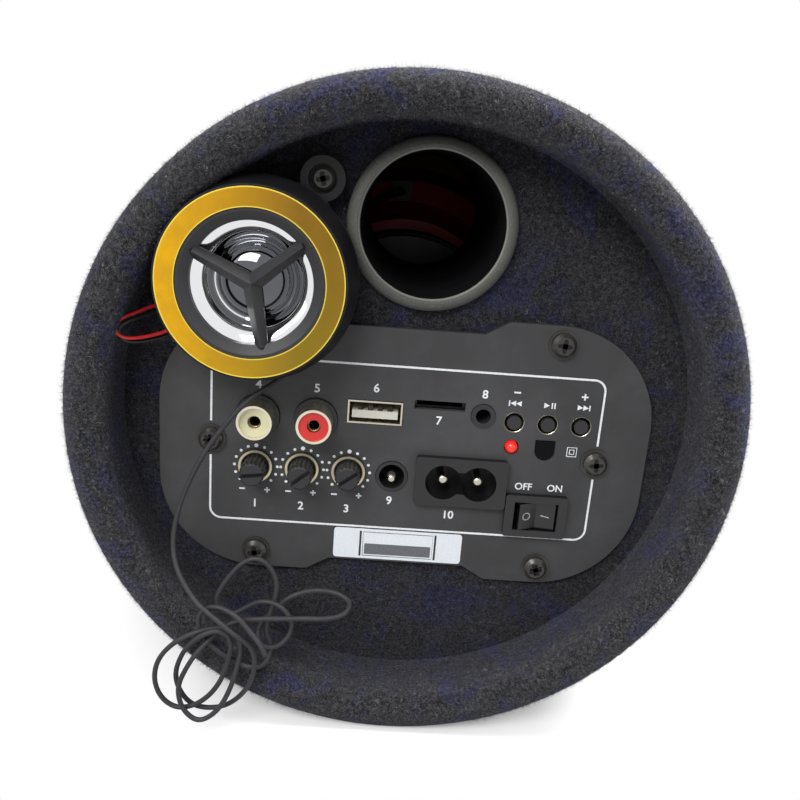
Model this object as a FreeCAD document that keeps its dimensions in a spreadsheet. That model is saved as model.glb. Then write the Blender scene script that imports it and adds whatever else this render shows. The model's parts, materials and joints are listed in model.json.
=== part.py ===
import FreeCAD, Part
import Sketcher
import math
import os
from types import SimpleNamespace
from FreeCAD import Placement, Rotation, Vector

# Powered car subwoofer: a felt-covered tube lying on its side. Its rear end holds, in a shallow
# recess, the amplifier's panel, the mouth of the bass port and a small tweeter; its front end
# holds the woofer behind a domed grille.
#
# Frame: millimetres, +Z up, +X to the right of someone who faces the amplifier panel, +Y from
# the panel towards the woofer. The origin is on the floor, under the middle of the tube.

doc = FreeCAD.newDocument("powered_subwoofer")

# Driving dimensions: alias, value in millimetres (degrees where the name says angle), meaning.
DIMENSIONS = (
    ("overall_length", 200.0, "rear rim to the crown of the grille"),
    ("body_radius", 76.75, "outside of the felt"),
    ("felt_wrap", 2.6, "felt over the tube"),
    ("felt_lining", 2.5, "felt inside the rear mouth"),
    ("tube_wall", 4.0, "wall of the tube"),
    ("floor_flat", 0.6, "how far the felt is pressed flat under the tube"),
    ("recess_depth", 16.3, "rear rim to the face of the panel"),
    ("baffle_felt_thick", 2.0, "felt on the rear baffle"),
    ("baffle_thick", 9.0, "both wooden baffles"),
    ("front_setback", 12.0, "end of the tube behind the grille's crown"),
    ("woofer_setback", 4.0, "front baffle behind the end of the tube"),
    ("running_gap", 0.3, "clearance of a piece that moves or slides in"),
    ("seat_gap", 0.1, "clearance of a piece that is put in by hand"),
    # amplifier panel
    ("panel_drop", 8.5, "panel centre below the tube's axis"),
    ("panel_half_width", 58.9, ""),
    ("panel_half_height", 33.1, ""),
    ("panel_corner", 24.3, ""),
    ("panel_thick", 1.6, ""),
    ("notch_depth", 3.3, "dip in the top and bottom edges"),
    ("notch_half_floor", 16.8, ""),
    ("notch_half_mouth", 22.5, ""),
    ("panel_screw_x", 35.2, ""),
    ("panel_screw_z", 28.7, ""),
    ("side_screw_x", 46.5, ""),
    ("cutout_half_width", 43.5, "hole in the baffle behind the panel"),
    ("cutout_wing", 3.5, "extra half width of the upper part of that hole"),
    ("cutout_wing_z", 4.5, ""),
    ("cutout_top", 21.0, ""),
    ("cutout_bottom", 24.0, ""),
    # screws
    ("screw_shank", 1.45, "radius"),
    ("screw_head", 2.9, "radius"),
    ("screw_head_high", 1.7, ""),
    ("screw_washer", 3.5, "radius"),
    ("screw_washer_thick", 0.5, ""),
    ("screw_grip", 7.0, "shank in the wood"),
    ("cross_arm", 1.5, "half length of the cross recess"),
    ("cross_width", 0.7, ""),
    ("cross_deep", 1.0, ""),
    # bass port
    ("port_x", 2.4, "from the tube's axis"),
    ("port_z", 45.2, "from the tube's axis"),
    ("port_bore", 16.2, "radius"),
    ("port_wall", 1.6, ""),
    ("port_flange", 19.4, "radius"),
    ("port_flange_high", 3.3, ""),
    ("port_lip", 1.3, "rounding into the bore"),
    ("port_length", 65.0, "behind the felt"),
    # tweeter
    ("tweeter_x", -35.7, "from the panel's centre"),
    ("tweeter_z", 39.8, "from the panel's centre"),
    ("tweeter_base", 19.4, "radius of the foot"),
    ("tweeter_radius", 20.6, "radius of the head"),
    ("tweeter_wall", 1.6, ""),
    ("tweeter_foot_high", 4.6, ""),
    ("tweeter_shoulder", 1.2, "height of the cone between foot and flange"),
    ("tweeter_flange", 22.6, "radius"),
    ("tweeter_flange_top", 8.2, "above the panel's face"),
    ("tweeter_head_from", 14.6, "where the cone above the flange ends"),
    ("tweeter_wall_gap", 0.25, "to the felt of the recess"),
    ("tweeter_wall_cut", 14.5, "height of the side that the recess cuts off"),
    ("tweeter_high", 15.9, "panel's face to the trim ring's face"),
    ("trim_outer", 20.1, "radius"),
    ("trim_inner", 15.9, "radius"),
    ("trim_thick", 0.9, ""),
    ("tweeter_web_high", 6.6, "underside of the inner floor"),
    ("tweeter_web_thick", 0.8, ""),
    ("dome_radius", 7.5, ""),
    ("dome_high", 3.2, ""),
    ("dome_skin", 0.5, ""),
    ("dome_back", 0.4, "behind the bowl's floor"),
    ("bowl_mouth", 15.2, "radius"),
    ("bowl_skin", 0.8, ""),
    ("bowl_sunk", 3.5, "its flange, below the trim ring's face"),
    ("bowl_step", 1.2, "width of its floor around the dome"),
    ("bowl_lip", 1.0, "width of its flange, inside"),
    ("bowl_lip_back", 0.4, "the same, at its back"),
    ("bowl_gap", 0.1, "to the housing's bore"),
    ("bowl_cone_foot", 2.4, "width of its foot"),
    ("tweeter_bore", 16.6, "radius"),
    ("trim_proud", 0.3, "above the housing's rim"),
    ("grille_ring_inner", 13.2, "radius"),
    ("grille_ring_sunk", 0.55, "its rim, below the trim ring's seat"),
    ("grille_ring_lip", 0.7, "width of its flat rim"),
    ("grille_ring_slope", 0.9, "depth of its inner edge"),
    ("spoke_hub_half", 2.05, "half width at the hub"),
    ("spoke_end_half", 1.35, "half width at the ring"),
    ("spoke_ridge_half", 0.12, ""),
    ("spoke_high", 2.3, ""),
    ("spoke_proud", 0.3, "its ridge, above the trim ring's seat"),
    ("spoke_bite", 0.6, "end inside the ring"),
    ("spoke_right", 39.0, "angle"),
    ("spoke_left", 154.0, "angle"),
    ("spoke_low", 281.0, "angle"),
    ("magnet_radius", 9.0, "tweeter"),
    ("magnet_high", 3.0, "tweeter"),
    ("pole_step", 1.05, "the pole's radius is this much less"),
    ("ear_x", 13.2, "from the tweeter's axis"),
    ("ear_z", 22.3, "from the tweeter's axis"),
    ("ear_radius", 4.95, ""),
    ("ear_high", 2.7, "above the panel's face"),
    ("ear_well", 3.2, "radius of the screw's well"),
    ("ear_well_deep", 1.7, ""),
    ("ear_screw_head", 2.7, "radius"),
    # upper circuit board and what hangs from it
    ("board_thick", 1.6, ""),
    ("board_gap", 0.5, "boards behind the panel"),
    ("media_board_z", 13.2, "underside, from the panel's centre"),
    ("media_board_left", 43.0, ""),
    ("media_board_right", 45.5, ""),
    ("media_board_deep", 34.0, ""),
    ("phono_x", 35.5, "left phono socket, left of centre"),
    ("phono_pitch", 13.8, ""),
    ("phono_z", 6.4, ""),
    ("phono_collar", 5.2, "radius"),
    ("phono_collar_high", 0.9, ""),
    ("phono_sleeve", 4.15, "radius"),
    ("phono_sleeve_wall", 0.6, ""),
    ("phono_shoulder", 0.25, "the sleeve is this much slimmer inside its collar"),
    ("phono_reach", 6.5, "in front of the panel"),
    ("phono_inset", 0.6, "insert behind the sleeve's edge"),
    ("phono_contact", 1.6, "radius of the centre contact"),
    ("phono_block_deep", 12.0, ""),
    ("phono_block_floor", 2.0, "behind the sleeves, and behind the contacts"),
    ("phono_block_margin", 6.5, "around the sockets' axes"),
    ("usb_x", -7.7, ""),
    ("usb_z", 9.05, ""),
    ("usb_width", 13.1, ""),
    ("usb_high", 5.7, ""),
    ("usb_wall", 0.4, ""),
    ("usb_proud", 0.3, "shell's edge, above the panel's face"),
    ("usb_floor", 1.2, ""),
    ("usb_tongue_inset", 0.9, "behind the shell's edge"),
    ("usb_root_thick", 2.5, ""),
    ("usb_leg_thick", 3.0, ""),
    ("usb_deep", 14.0, ""),
    ("usb_tongue_width", 11.0, ""),
    ("usb_tongue_thick", 1.9, ""),
    ("usb_tongue_drop", 0.75, "tongue's middle below the socket's middle"),
    ("card_x", 7.7, ""),
    ("card_z", 11.8, ""),
    ("card_slot_width", 12.2, ""),
    ("card_slot_high", 2.2, ""),
    ("card_mouth_high", 1.2, ""),
    ("card_deep", 15.0, ""),
    ("card_side", 0.6, "beside the mouth"),
    ("card_floor", 1.5, ""),
    ("jack_x", 18.2, ""),
    ("jack_z", 10.0, ""),
    ("jack_nose", 2.9, "radius"),
    ("jack_bore", 1.8, "radius"),
    ("jack_deep", 14.0, ""),
    ("jack_proud", 0.4, "above the panel's face"),
    ("jack_floor", 1.5, ""),
    ("button_x", 25.8, "first button"),
    ("button_pitch", 8.1, ""),
    ("button_z", 8.9, ""),
    ("button_hole", 2.5, "radius"),
    ("button_cap", 1.7, "radius"),
    ("button_proud", 0.4, ""),
    ("button_stem", 0.8, "radius"),
    ("button_travel", 0.3, ""),
    ("switch_body_deep", 4.4, "front of the little switches behind the panel's face"),
    ("switch_body_side", 5.0, ""),
    ("switch_body_thick", 3.2, ""),
    ("switch_floor", 0.8, "behind the stem's bore"),
    ("stem_reach", 1.2, "inside the switch"),
    ("led_x", 25.8, ""),
    ("led_z", 2.7, ""),
    ("led_radius", 1.5, ""),
    ("led_proud", 1.3, "to the top of its dome"),
    ("led_hole", 1.8, "radius"),
    ("eye_x", 33.95, "remote control's eye"),
    ("eye_half_width", 2.35, ""),
    ("eye_top", 4.8, ""),
    ("eye_proud", 0.2, "above the panel's face"),
    ("eye_leg_drop", 1.0, "below the top of the eye"),
    ("eye_high", 4.9, ""),
    ("leg_deep", 8.6, "legs of the lamp and the eye, behind the panel's face"),
    ("leg_side", 0.6, ""),
    ("leg_half_pitch", 1.27, ""),
    # lower circuit board and what stands on it
    ("power_board_z", -13.0, "top face, from the panel's centre"),
    ("power_board_deep", 68.0, ""),
    ("power_board_step", 26.0, "where it widens"),
    ("power_board_right", 2.0, "right edge of its narrow part"),
    ("pot_first_x", -35.7, ""),
    ("pot_pitch", 11.25, ""),
    ("pot_z", -6.2, ""),
    ("pot_side", 9.6, ""),
    ("pot_top", 5.0, "above its shaft"),
    ("pot_deep", 7.0, ""),
    ("bushing_radius", 4.15, ""),
    ("bushing_proud", 1.3, ""),
    ("bushing_neck", 3.7, "radius in the panel"),
    ("shaft_radius", 3.0, ""),
    ("shaft_sunk", 1.5, "behind the panel's face"),
    ("shaft_reach", 7.5, "in front of the panel"),
    ("shaft_reach_short", 6.2, "the last one, in front of the panel"),
    ("shaft_chamfer", 0.5, ""),
    ("knurl_deep", 0.28, ""),
    ("slot_width", 1.0, ""),
    ("slot_deep", 1.3, ""),
    ("volume_angle", 8.0, "slot against the horizontal"),
    ("treble_angle", 40.0, ""),
    ("bass_angle", 37.0, ""),
    ("supply_x", -2.6, "low-voltage socket"),
    ("supply_z", -6.9, ""),
    ("supply_nose", 3.9, "radius"),
    ("supply_bore", 3.1, "radius"),
    ("supply_pin", 1.0, "radius"),
    ("supply_side", 8.4, ""),
    ("supply_deep", 13.0, ""),
    ("supply_floor", 2.0, ""),
    ("supply_pin_inset", 0.8, "tip behind the panel's face"),
    ("supply_proud", 0.3, ""),
    ("mains_x", 14.3, ""),
    ("mains_z", -7.0, ""),
    ("mains_width", 22.4, ""),
    ("mains_high", 12.4, ""),
    ("mains_proud", 1.8, ""),
    ("mains_body_margin", 1.3, "body inside the edge of its collar"),
    ("mains_corner", 0.8, "rounding"),
    ("mains_deep", 17.0, ""),
    ("mains_lobe", 4.4, "radius"),
    ("mains_half_pitch", 4.3, ""),
    ("mains_waist", 5.6, ""),
    ("mains_socket_deep", 12.0, ""),
    ("mains_pin", 1.2, "radius"),
    ("mains_pin_inset", 2.2, "tip behind the collar's face"),
    ("rocker_x", 33.45, ""),
    ("rocker_z", -14.6, ""),
    ("rocker_width", 15.3, "collar"),
    ("rocker_high", 10.9, "collar"),
    ("rocker_proud", 1.6, "collar"),
    ("rocker_body_margin", 0.9, ""),
    ("rocker_corner", 0.6, "rounding"),
    ("rocker_floor", 3.0, ""),
    ("rocker_deep", 13.0, ""),
    ("rocker_opening", 10.8, ""),
    ("rocker_opening_high", 7.3, ""),
    ("rocker_half_length", 4.6, ""),
    ("rocker_end_high", 2.6, "ends above the pivot's level"),
    ("rocker_dip", 1.2, "middle below the ends"),
    ("rocker_pivot_deep", 1.0, "behind the panel's face"),
    ("rocker_belly", 3.4, "below the pivot"),
    ("rocker_tilt_angle", 9.0, "each way"),
    ("transformer_x", 27.0, ""),
    ("transformer_width", 24.0, ""),
    ("transformer_deep", 22.0, ""),
    ("transformer_high", 19.0, ""),
    ("transformer_coil_proud", 3.0, "above and below the core"),
    ("transformer_coil_short", 1.0, "at both ends of the core"),
    ("transformer_from", 38.0, "behind the panel's face"),
    ("capacitor_radius", 5.0, ""),
    ("capacitor_high", 18.0, ""),
    ("capacitor_x", -36.0, ""),
    ("capacitor_pitch", 11.5, ""),
    ("capacitor_from", 24.0, ""),
    ("heatsink_x", -24.0, "left edge"),
    ("heatsink_width", 34.0, ""),
    ("heatsink_from", 38.0, ""),
    ("heatsink_deep", 22.0, ""),
    ("heatsink_base", 3.0, ""),
    ("heatsink_high", 21.0, ""),
    ("fin_thick", 1.4, ""),
    ("fin_pitch", 5.2, ""),
    ("connector_x", -30.0, "speaker connector"),
    ("connector_from", 60.0, ""),
    ("connector_side", 7.0, ""),
    ("connector_high", 8.0, ""),
    ("tweeter_plug_x", -40.1, "connector on the upper board"),
    ("tweeter_plug_from", 16.0, ""),
    ("tweeter_plug_high", 5.0, ""),
    ("antenna_plug_x", -28.3, "connector on the upper board"),
    ("antenna_plug_from", 13.4, ""),
    ("antenna_plug_high", 7.2, ""),
    ("plug_side", 5.4, "both"),
    # woofer
    ("woofer_in", 6.15, "edge of its flange, inside the tube's bore"),
    ("woofer_screw_in", 3.2, "its screws, inside that edge"),
    ("woofer_flange", 8.4, "width"),
    ("woofer_cutout_room", 1.4, "between the baffle's hole and the basket"),
    ("basket_sheet", 1.4, ""),
    ("basket_slope", 3.6, "from the throat in to the shelf"),
    ("basket_shelf_wide", 8.0, ""),
    ("basket_shelf_deep", 19.0, "behind the flange"),
    ("basket_shelf_drop", 1.5, ""),
    ("basket_floor", 38.0, "radius"),
    ("basket_floor_deep", 41.0, ""),
    ("basket_step", 32.0, "radius where the floor steps up to the spider's ledge"),
    ("basket_ledge", 6.0, "height of that ledge"),
    ("window_angle", 40.0, "width of each window"),
    ("top_plate_thick", 4.0, ""),
    ("ferrite_thick", 14.0, ""),
    ("back_plate_thick", 5.0, ""),
    ("ferrite_radius", 35.0, ""),
    ("plate_radius", 34.0, ""),
    ("ferrite_bore", 16.0, ""),
    ("pole_radius", 12.0, ""),
    ("gap_radius", 13.9, "hole in the top plate"),
    ("former_inner", 12.6, ""),
    ("former_wall", 0.4, ""),
    ("coil_thick", 0.4, ""),
    ("coil_length", 10.0, ""),
    ("cone_neck", 13.0, "radius"),
    ("cone_edge_out", 0.2, "its radius is this much over the shelf's inner one"),
    ("cone_lip", 2.5, ""),
    ("cone_paper", 0.9, ""),
    ("cone_deep", 22.0, ""),
    ("dust_cap_radius", 19.0, ""),
    ("dust_cap_high", 8.0, ""),
    ("surround_roll", 4.4, "radius of the roll"),
    ("surround_skin", 0.8, ""),
    ("surround_lip", 2.0, ""),
    ("spider_wave", 1.6, ""),
    ("spider_skin", 0.6, ""),
    ("terminal_width", 7.5, ""),
    ("terminal_high", 7.5, ""),
    ("terminal_thick", 1.6, ""),
    ("terminal_angle", 93.5, ""),
    # grille
    ("grille_skirt_in", 1.35, "ring's outside, in from the felt's radius"),
    ("grille_ring_high", 9.0, "in front of the tube's end"),
    ("grille_wall", 10.0, "from the ring's outside to its bore"),
    ("grille_lip_step", 3.9, "the lip's reach in from the bore"),
    ("grille_lip_chamfer", 1.2, "across"),
    ("grille_lip_chamfer_deep", 1.0, ""),
    ("grille_lip_thick", 2.4, ""),
    ("grille_round", 3.0, ""),
    ("mesh_skin", 1.0, ""),
    ("mesh_flat", 5.4, "width of its flat edge"),
    # cords
    ("antenna_radius", 0.6, ""),
    ("antenna_x", -28.5, ""),
    ("antenna_z", 18.7, ""),
    ("lead_radius", 0.4, "tweeter's lead, each core"),
    ("lead_hole", 1.9, "radius"),
    ("lead_hole_x", -53.5, ""),
    ("lead_hole_z", 28.4, ""),
    ("speaker_lead_radius", 1.5, ""),
    ("hank_half_length", 21.0, ""),
    ("hank_half_width", 13.5, ""),
    ("hank_thick", 3.0, ""),
    ("hank_x", -33.5, ""),
    ("hank_z", -47.6, ""),
    ("hank_ahead", 17.4, "in front of the panel's face"),
    ("hank_rise", 30.0, "angle of its long axis"),
    ("hank_lean", 12.0, "angle by which its inner side leans into the recess"),
    ("hank_entry", 107.0, "where the cord meets its edge, from its long axis"),
    ("hank_entry_run", 5.2, "straight end of the cord"),
)

# Counts, angles in degrees and proportions
FULL_TURN = 360
WOOFER_SCREW_ANGLES = (45, 135, 225, 315)
BUTTONS = 3
POTS = 3
CAPACITORS = 3
KNURLS = 18
BASKET_WINDOWS = 6
SPIDER_STEPS = 10
SCREW_CROWN = 0.72  # radius of a screw's flat crown, of its head's radius
SCREW_RIM = 0.55  # height of its rim, of its head's height
PORT_ROUNDING = 0.75  # of the flange's height
USB_LEG_PART = 0.3  # half width of its leg, of the shell's width
COIL_PART = 0.3  # half width of the transformer's coil, of its core's width
ROCKER_SHOULDER = 0.92  # of the rocker's half length
NECK_PART = 0.8  # half width of the ear's neck, of the ear's radius
CONE_FOOT = 1.5  # wall at the cone's neck, in paper thicknesses
CONE_EDGE = 0.4  # set-back of the cone's face at its edge, in paper thicknesses
CLEAR = 1.2  # a tool reaches this many times as far as what it cuts


class Size:
    """A length with its number and the spreadsheet expression that drives it."""

    def __init__(self, number, text):
        self.number = float(number)
        self.text = text

    def join(self, other, sign, number):
        return Size(number, "(%s %s %s)" % (self.text, sign, other.text))

    def __add__(self, other):
        other = as_size(other)
        return self.join(other, "+", self.number + other.number)

    def __sub__(self, other):
        other = as_size(other)
        return self.join(other, "-", self.number - other.number)

    def __mul__(self, other):
        other = as_size(other)
        return self.join(other, "*", self.number * other.number)

    def __truediv__(self, other):
        other = as_size(other)
        return self.join(other, "/", self.number / other.number)

    def __radd__(self, other):
        return as_size(other) + self

    def __rsub__(self, other):
        return as_size(other) - self

    def __rmul__(self, other):
        return as_size(other) * self

    def __neg__(self):
        return Size(-self.number, "(-1 * %s)" % self.text)


def as_size(value):
    """A plain number as a Size; a Size as it is."""
    if isinstance(value, Size):
        return value
    return Size(value, repr(float(value)))


def driving_sheet():
    """Write the driving dimensions into the spreadsheet and hand them out by name."""
    sheet = doc.addObject("Spreadsheet::Sheet", "Dimensions")
    sizes = SimpleNamespace()
    for row, (alias, value, meaning) in enumerate(DIMENSIONS, start=1):
        sheet.set("A%d" % row, alias)
        sheet.set("B%d" % row, repr(value))
        sheet.set("C%d" % row, meaning)
        sheet.setAlias("B%d" % row, alias)
        setattr(sizes, alias, Size(value, "Dimensions.%s" % alias))
    doc.recompute()
    return sizes


d = driving_sheet()

# Places along the tube
rim_y = -d.overall_length / 2
panel_y = rim_y + d.recess_depth
panel_back = panel_y + d.panel_thick
felt_y = panel_back
baffle_y = felt_y + d.baffle_felt_thick
baffle_back = baffle_y + d.baffle_thick
tube_front = d.overall_length / 2 - d.front_setback
mount_y = tube_front - d.woofer_setback

# Radii and heights
tube_outer = d.body_radius - d.felt_wrap
tube_inner = tube_outer - d.tube_wall
lining_radius = tube_inner - d.felt_lining
woofer_radius = tube_inner - d.woofer_in
woofer_screw_circle = woofer_radius - d.woofer_screw_in
woofer_throat = woofer_radius - d.woofer_flange
woofer_cutout = woofer_throat + d.woofer_cutout_room
shelf_outer = woofer_throat - d.basket_slope
shelf_inner = shelf_outer - d.basket_shelf_wide
roll_radius = (d.body_radius - lining_radius) / 2
axis_z = d.body_radius - d.floor_flat
panel_z = axis_z - d.panel_drop
tweeter_centre_z = panel_z + d.tweeter_z
port_centre_z = axis_z + d.port_z

ALONG_Y = Rotation(Vector(1, 0, 0), -90)
parts = []


# --- helpers -------------------------------------------------------------------------------

def bind(thing, name, size):
    """Drive a property, or a part of one, by a size."""
    thing.setExpression(name, as_size(size).text)


def place(thing, x, y, z, rotation=Rotation()):
    """Put a thing at sizes x, y, z."""
    base = Vector(as_size(x).number, as_size(y).number, as_size(z).number)
    thing.Placement = Placement(base, rotation)
    for axis, size in (("x", x), ("y", y), ("z", z)):
        bind(thing, "Placement.Base.%s" % axis, size)
    return thing


def cylinder(radius, length, x, y, z, rotation=ALONG_Y):
    """A cylinder from (x, y, z) along +Y, unless it is turned."""
    thing = doc.addObject("Part::Cylinder", "cylinder")
    bind(thing, "Radius", radius)
    bind(thing, "Height", length)
    return place(thing, x, y, z, rotation)


def box(centre_x, width, y, depth, centre_z, height):
    """A box from y to y + depth about a centre in x and z."""
    thing = doc.addObject("Part::Box", "box")
    bind(thing, "Length", width)
    bind(thing, "Width", depth)
    bind(thing, "Height", height)
    return place(thing, centre_x - as_size(width) / 2, y, centre_z - as_size(height) / 2)


def box_between(x0, x1, y0, y1, z0, z1):
    """A box between two corners."""
    width = as_size(x1) - x0
    height = as_size(z1) - z0
    return box(as_size(x0) + width / 2, width, y0, as_size(y1) - y0, as_size(z0) + height / 2, height)


def wedge(x_range, far_x_range, z_range, far_z_range, length):
    """A block along +Y whose far end has its own width and height."""
    thing = doc.addObject("Part::Wedge", "wedge")
    bounds = (
        ("Xmin", x_range[0]), ("Xmax", x_range[1]),
        ("X2min", far_x_range[0]), ("X2max", far_x_range[1]),
        ("Zmin", z_range[0]), ("Zmax", z_range[1]),
        ("Z2min", far_z_range[0]), ("Z2max", far_z_range[1]),
        ("Ymin", 0), ("Ymax", length),
    )
    for name, size in bounds:
        setattr(thing, name, as_size(size).number)
        bind(thing, name, as_size(size))
    return thing


def joined(*things):
    """One solid from several."""
    fuse = doc.addObject("Part::MultiFuse", "fuse")
    fuse.Shapes = list(things)
    return fuse


def shared(one, other):
    """What two solids have in common."""
    result = doc.addObject("Part::Common", "shared")
    result.Base = one
    result.Tool = other
    return result


def cut(base, *tools):
    """The base without the tools."""
    result = doc.addObject("Part::Cut", "cut")
    result.Base = base
    result.Tool = tools[0] if len(tools) == 1 else joined(*tools)
    return result


def group(*things):
    """Separate solids in one object."""
    compound = doc.addObject("Part::Compound", "group")
    compound.Links = list(things)
    return compound


def part(label, thing):
    """Name a finished sub-part."""
    thing.Label = label
    parts.append(thing)
    return thing


def new_body(name):
    return doc.addObject("PartDesign::Body", name)


def origin_plane(body, role):
    return [item for item in body.Origin.OriginFeatures if item.Role == role][0]


def sketch_on(body, role, offset=None):
    """A sketch on one of the body's own origin planes, moved along its normal by offset."""
    sketch = body.newObject("Sketcher::SketchObject", "sketch")
    sketch.AttachmentSupport = [(origin_plane(body, role), "")]
    sketch.MapMode = "FlatFace"
    if offset is not None:
        bind(sketch, "AttachmentOffset.Base.z", offset)
    return sketch


def fix_coordinate(sketch, direction, geometry, point, size):
    """Hold one coordinate of a sketch point at a size, whatever its sign."""
    size = as_size(size)
    if abs(size.number) < 1e-9:
        axis = -2 if direction == "DistanceX" else -1
        sketch.addConstraint(Sketcher.Constraint("PointOnObject", geometry, point, axis))
        return
    if size.number > 0:
        index = sketch.addConstraint(
            Sketcher.Constraint(direction, -1, 1, geometry, point, size.number))
    else:
        size = -size
        index = sketch.addConstraint(
            Sketcher.Constraint(direction, geometry, point, -1, 1, size.number))
    sketch.setExpression("Constraints[%d]" % index, size.text)


def flat(pair):
    return Vector(as_size(pair[0]).number, as_size(pair[1]).number, 0)


def outline(sketch, corners):
    """A closed outline of lines and arcs.

    Each corner is (x, y) or (x, y, centre, turn): with a centre, the edge that leaves the corner
    is an arc about it, turning "left" or "right" as one walks the outline.
    """
    edges = []
    count = len(corners)
    for number, corner in enumerate(corners):
        start = flat(corner)
        end = flat(corners[(number + 1) % count])
        if len(corner) == 2:
            geometry = sketch.addGeometry(Part.LineSegment(start, end))
            edges.append((geometry, 1, 2))
            continue
        centre = flat(corner[2])
        circle = Part.Circle(centre, Vector(0, 0, 1), (start - centre).Length)
        from_angle = math.atan2(start.y - centre.y, start.x - centre.x)
        to_angle = math.atan2(end.y - centre.y, end.x - centre.x)
        if corner[3] == "left":
            geometry = sketch.addGeometry(Part.ArcOfCircle(circle, from_angle, to_angle))
            edges.append((geometry, 1, 2))
        else:
            geometry = sketch.addGeometry(Part.ArcOfCircle(circle, to_angle, from_angle))
            edges.append((geometry, 2, 1))
    for number, corner in enumerate(corners):
        geometry, first, last = edges[number]
        before, _, before_last = edges[number - 1]
        sketch.addConstraint(
            Sketcher.Constraint("Coincident", before, before_last, geometry, first))
        if len(corner) > 2:
            fix_coordinate(sketch, "DistanceX", geometry, 3, corner[2][0])
            fix_coordinate(sketch, "DistanceY", geometry, 3, corner[2][1])
        wanted = ["DistanceX", "DistanceY"]
        arc_before = corners[number - 1]
        if len(arc_before) > 2:
            # The arc already holds this corner on its circle, so one coordinate is enough.
            spoke = flat(corner) - flat(arc_before[2])
            wanted = ["DistanceX"] if abs(spoke.y) > abs(spoke.x) else ["DistanceY"]
        for direction in wanted:
            size = corner[0] if direction == "DistanceX" else corner[1]
            fix_coordinate(sketch, direction, geometry, first, size)
    return sketch


def circle(sketch, x, y, radius):
    """A full circle at sizes x, y."""
    geometry = sketch.addGeometry(
        Part.Circle(flat((x, y)), Vector(0, 0, 1), as_size(radius).number))
    fix_coordinate(sketch, "DistanceX", geometry, 3, x)
    fix_coordinate(sketch, "DistanceY", geometry, 3, y)
    index = sketch.addConstraint(Sketcher.Constraint("Radius", geometry, as_size(radius).number))
    sketch.setExpression("Constraints[%d]" % index, as_size(radius).text)


def rectangle(x, y, width, height):
    """Corners of a rectangle about a centre."""
    half_width = as_size(width) / 2
    half_height = as_size(height) / 2
    return [
        (x - half_width, y - half_height),
        (x + half_width, y - half_height),
        (x + half_width, y + half_height),
        (x - half_width, y + half_height),
    ]


def rounded_rectangle(x, y, width, height, radius):
    """Corners of a rectangle with round corners."""
    right = x + as_size(width) / 2
    left = x - as_size(width) / 2
    top = y + as_size(height) / 2
    bottom = y - as_size(height) / 2
    return [
        (left + radius, bottom),
        (right - radius, bottom, (right - radius, bottom + radius), "left"),
        (right, bottom + radius),
        (right, top - radius, (right - radius, top - radius), "left"),
        (right - radius, top),
        (left + radius, top, (left + radius, top - radius), "left"),
        (left, top - radius),
        (left, bottom + radius, (left + radius, bottom + radius), "left"),
    ]


def turned(name, x, z, corners):
    """A body turned about an axis along Y at (x, z). Its corners are (radius, y)."""
    body = new_body(name)
    sketch = sketch_on(body, "XY_Plane")
    outline(sketch, corners)
    revolution = body.newObject("PartDesign::Revolution", "turning")
    revolution.Profile = sketch
    revolution.ReferenceAxis = (sketch, ["V_Axis"])
    revolution.Angle = FULL_TURN
    body.Tip = revolution
    return place(body, x, 0, z)


def plate(name, x, z, y_front, thickness, corners, holes=()):
    """A body of constant thickness, cut from a sheet that faces -Y.

    Its corners are (x, z) from its own centre; its holes are lists of corners or (x, z, radius).
    """
    body = new_body(name)
    sketch = sketch_on(body, "XZ_Plane", -as_size(y_front))
    outline(sketch, corners)
    for hole in holes:
        if isinstance(hole, tuple):
            circle(sketch, *hole)
        else:
            outline(sketch, hole)
    pad = body.newObject("PartDesign::Pad", "sheet")
    pad.Profile = sketch
    pad.Reversed = True
    bind(pad, "Length", thickness)
    body.Tip = pad
    return place(body, x, 0, z)


def panel_outline(margin=0):
    """Corners of the amplifier panel, from its centre: round ends and a dip above and below."""
    width = d.panel_half_width + margin
    height = d.panel_half_height + margin
    corner = d.panel_corner + margin
    arc_x = width - corner
    arc_z = height - corner
    dip = height - d.notch_depth
    return [
        (-arc_x, -height),
        (-d.notch_half_mouth, -height),
        (-d.notch_half_floor, -dip),
        (as_size(d.notch_half_floor), -dip),
        (as_size(d.notch_half_mouth), -height),
        (arc_x, -height, (arc_x, -arc_z), "left"),
        (width, -arc_z),
        (width, arc_z, (arc_x, arc_z), "left"),
        (arc_x, height),
        (as_size(d.notch_half_mouth), height),
        (as_size(d.notch_half_floor), dip),
        (-d.notch_half_floor, dip),
        (-d.notch_half_mouth, height),
        (-arc_x, height, (-arc_x, arc_z), "left"),
        (-width, arc_z),
        (-width, -arc_z, (-arc_x, -arc_z), "left"),
    ]


def panel_screw_places():
    """The six panel screws, from the panel's centre."""
    places = [(side * d.panel_screw_x, level * d.panel_screw_z) for side in (-1, 1) for level in (-1, 1)]
    return places + [(-d.side_screw_x, as_size(0)), (as_size(d.side_screw_x), as_size(0))]


def behind(distance):
    """A place behind the panel's face."""
    return panel_y + distance


def ahead(distance):
    """A place in front of the panel's face."""
    return panel_y - distance


# --- tube and felt -------------------------------------------------------------------------

def make_tube():
    rear = rim_y + d.felt_wrap
    part("barrel_tube", turned("tube", 0, axis_z, [
        (tube_inner, rear),
        (tube_outer, rear),
        (tube_outer, tube_front),
        (tube_inner, tube_front),
    ]))


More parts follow.
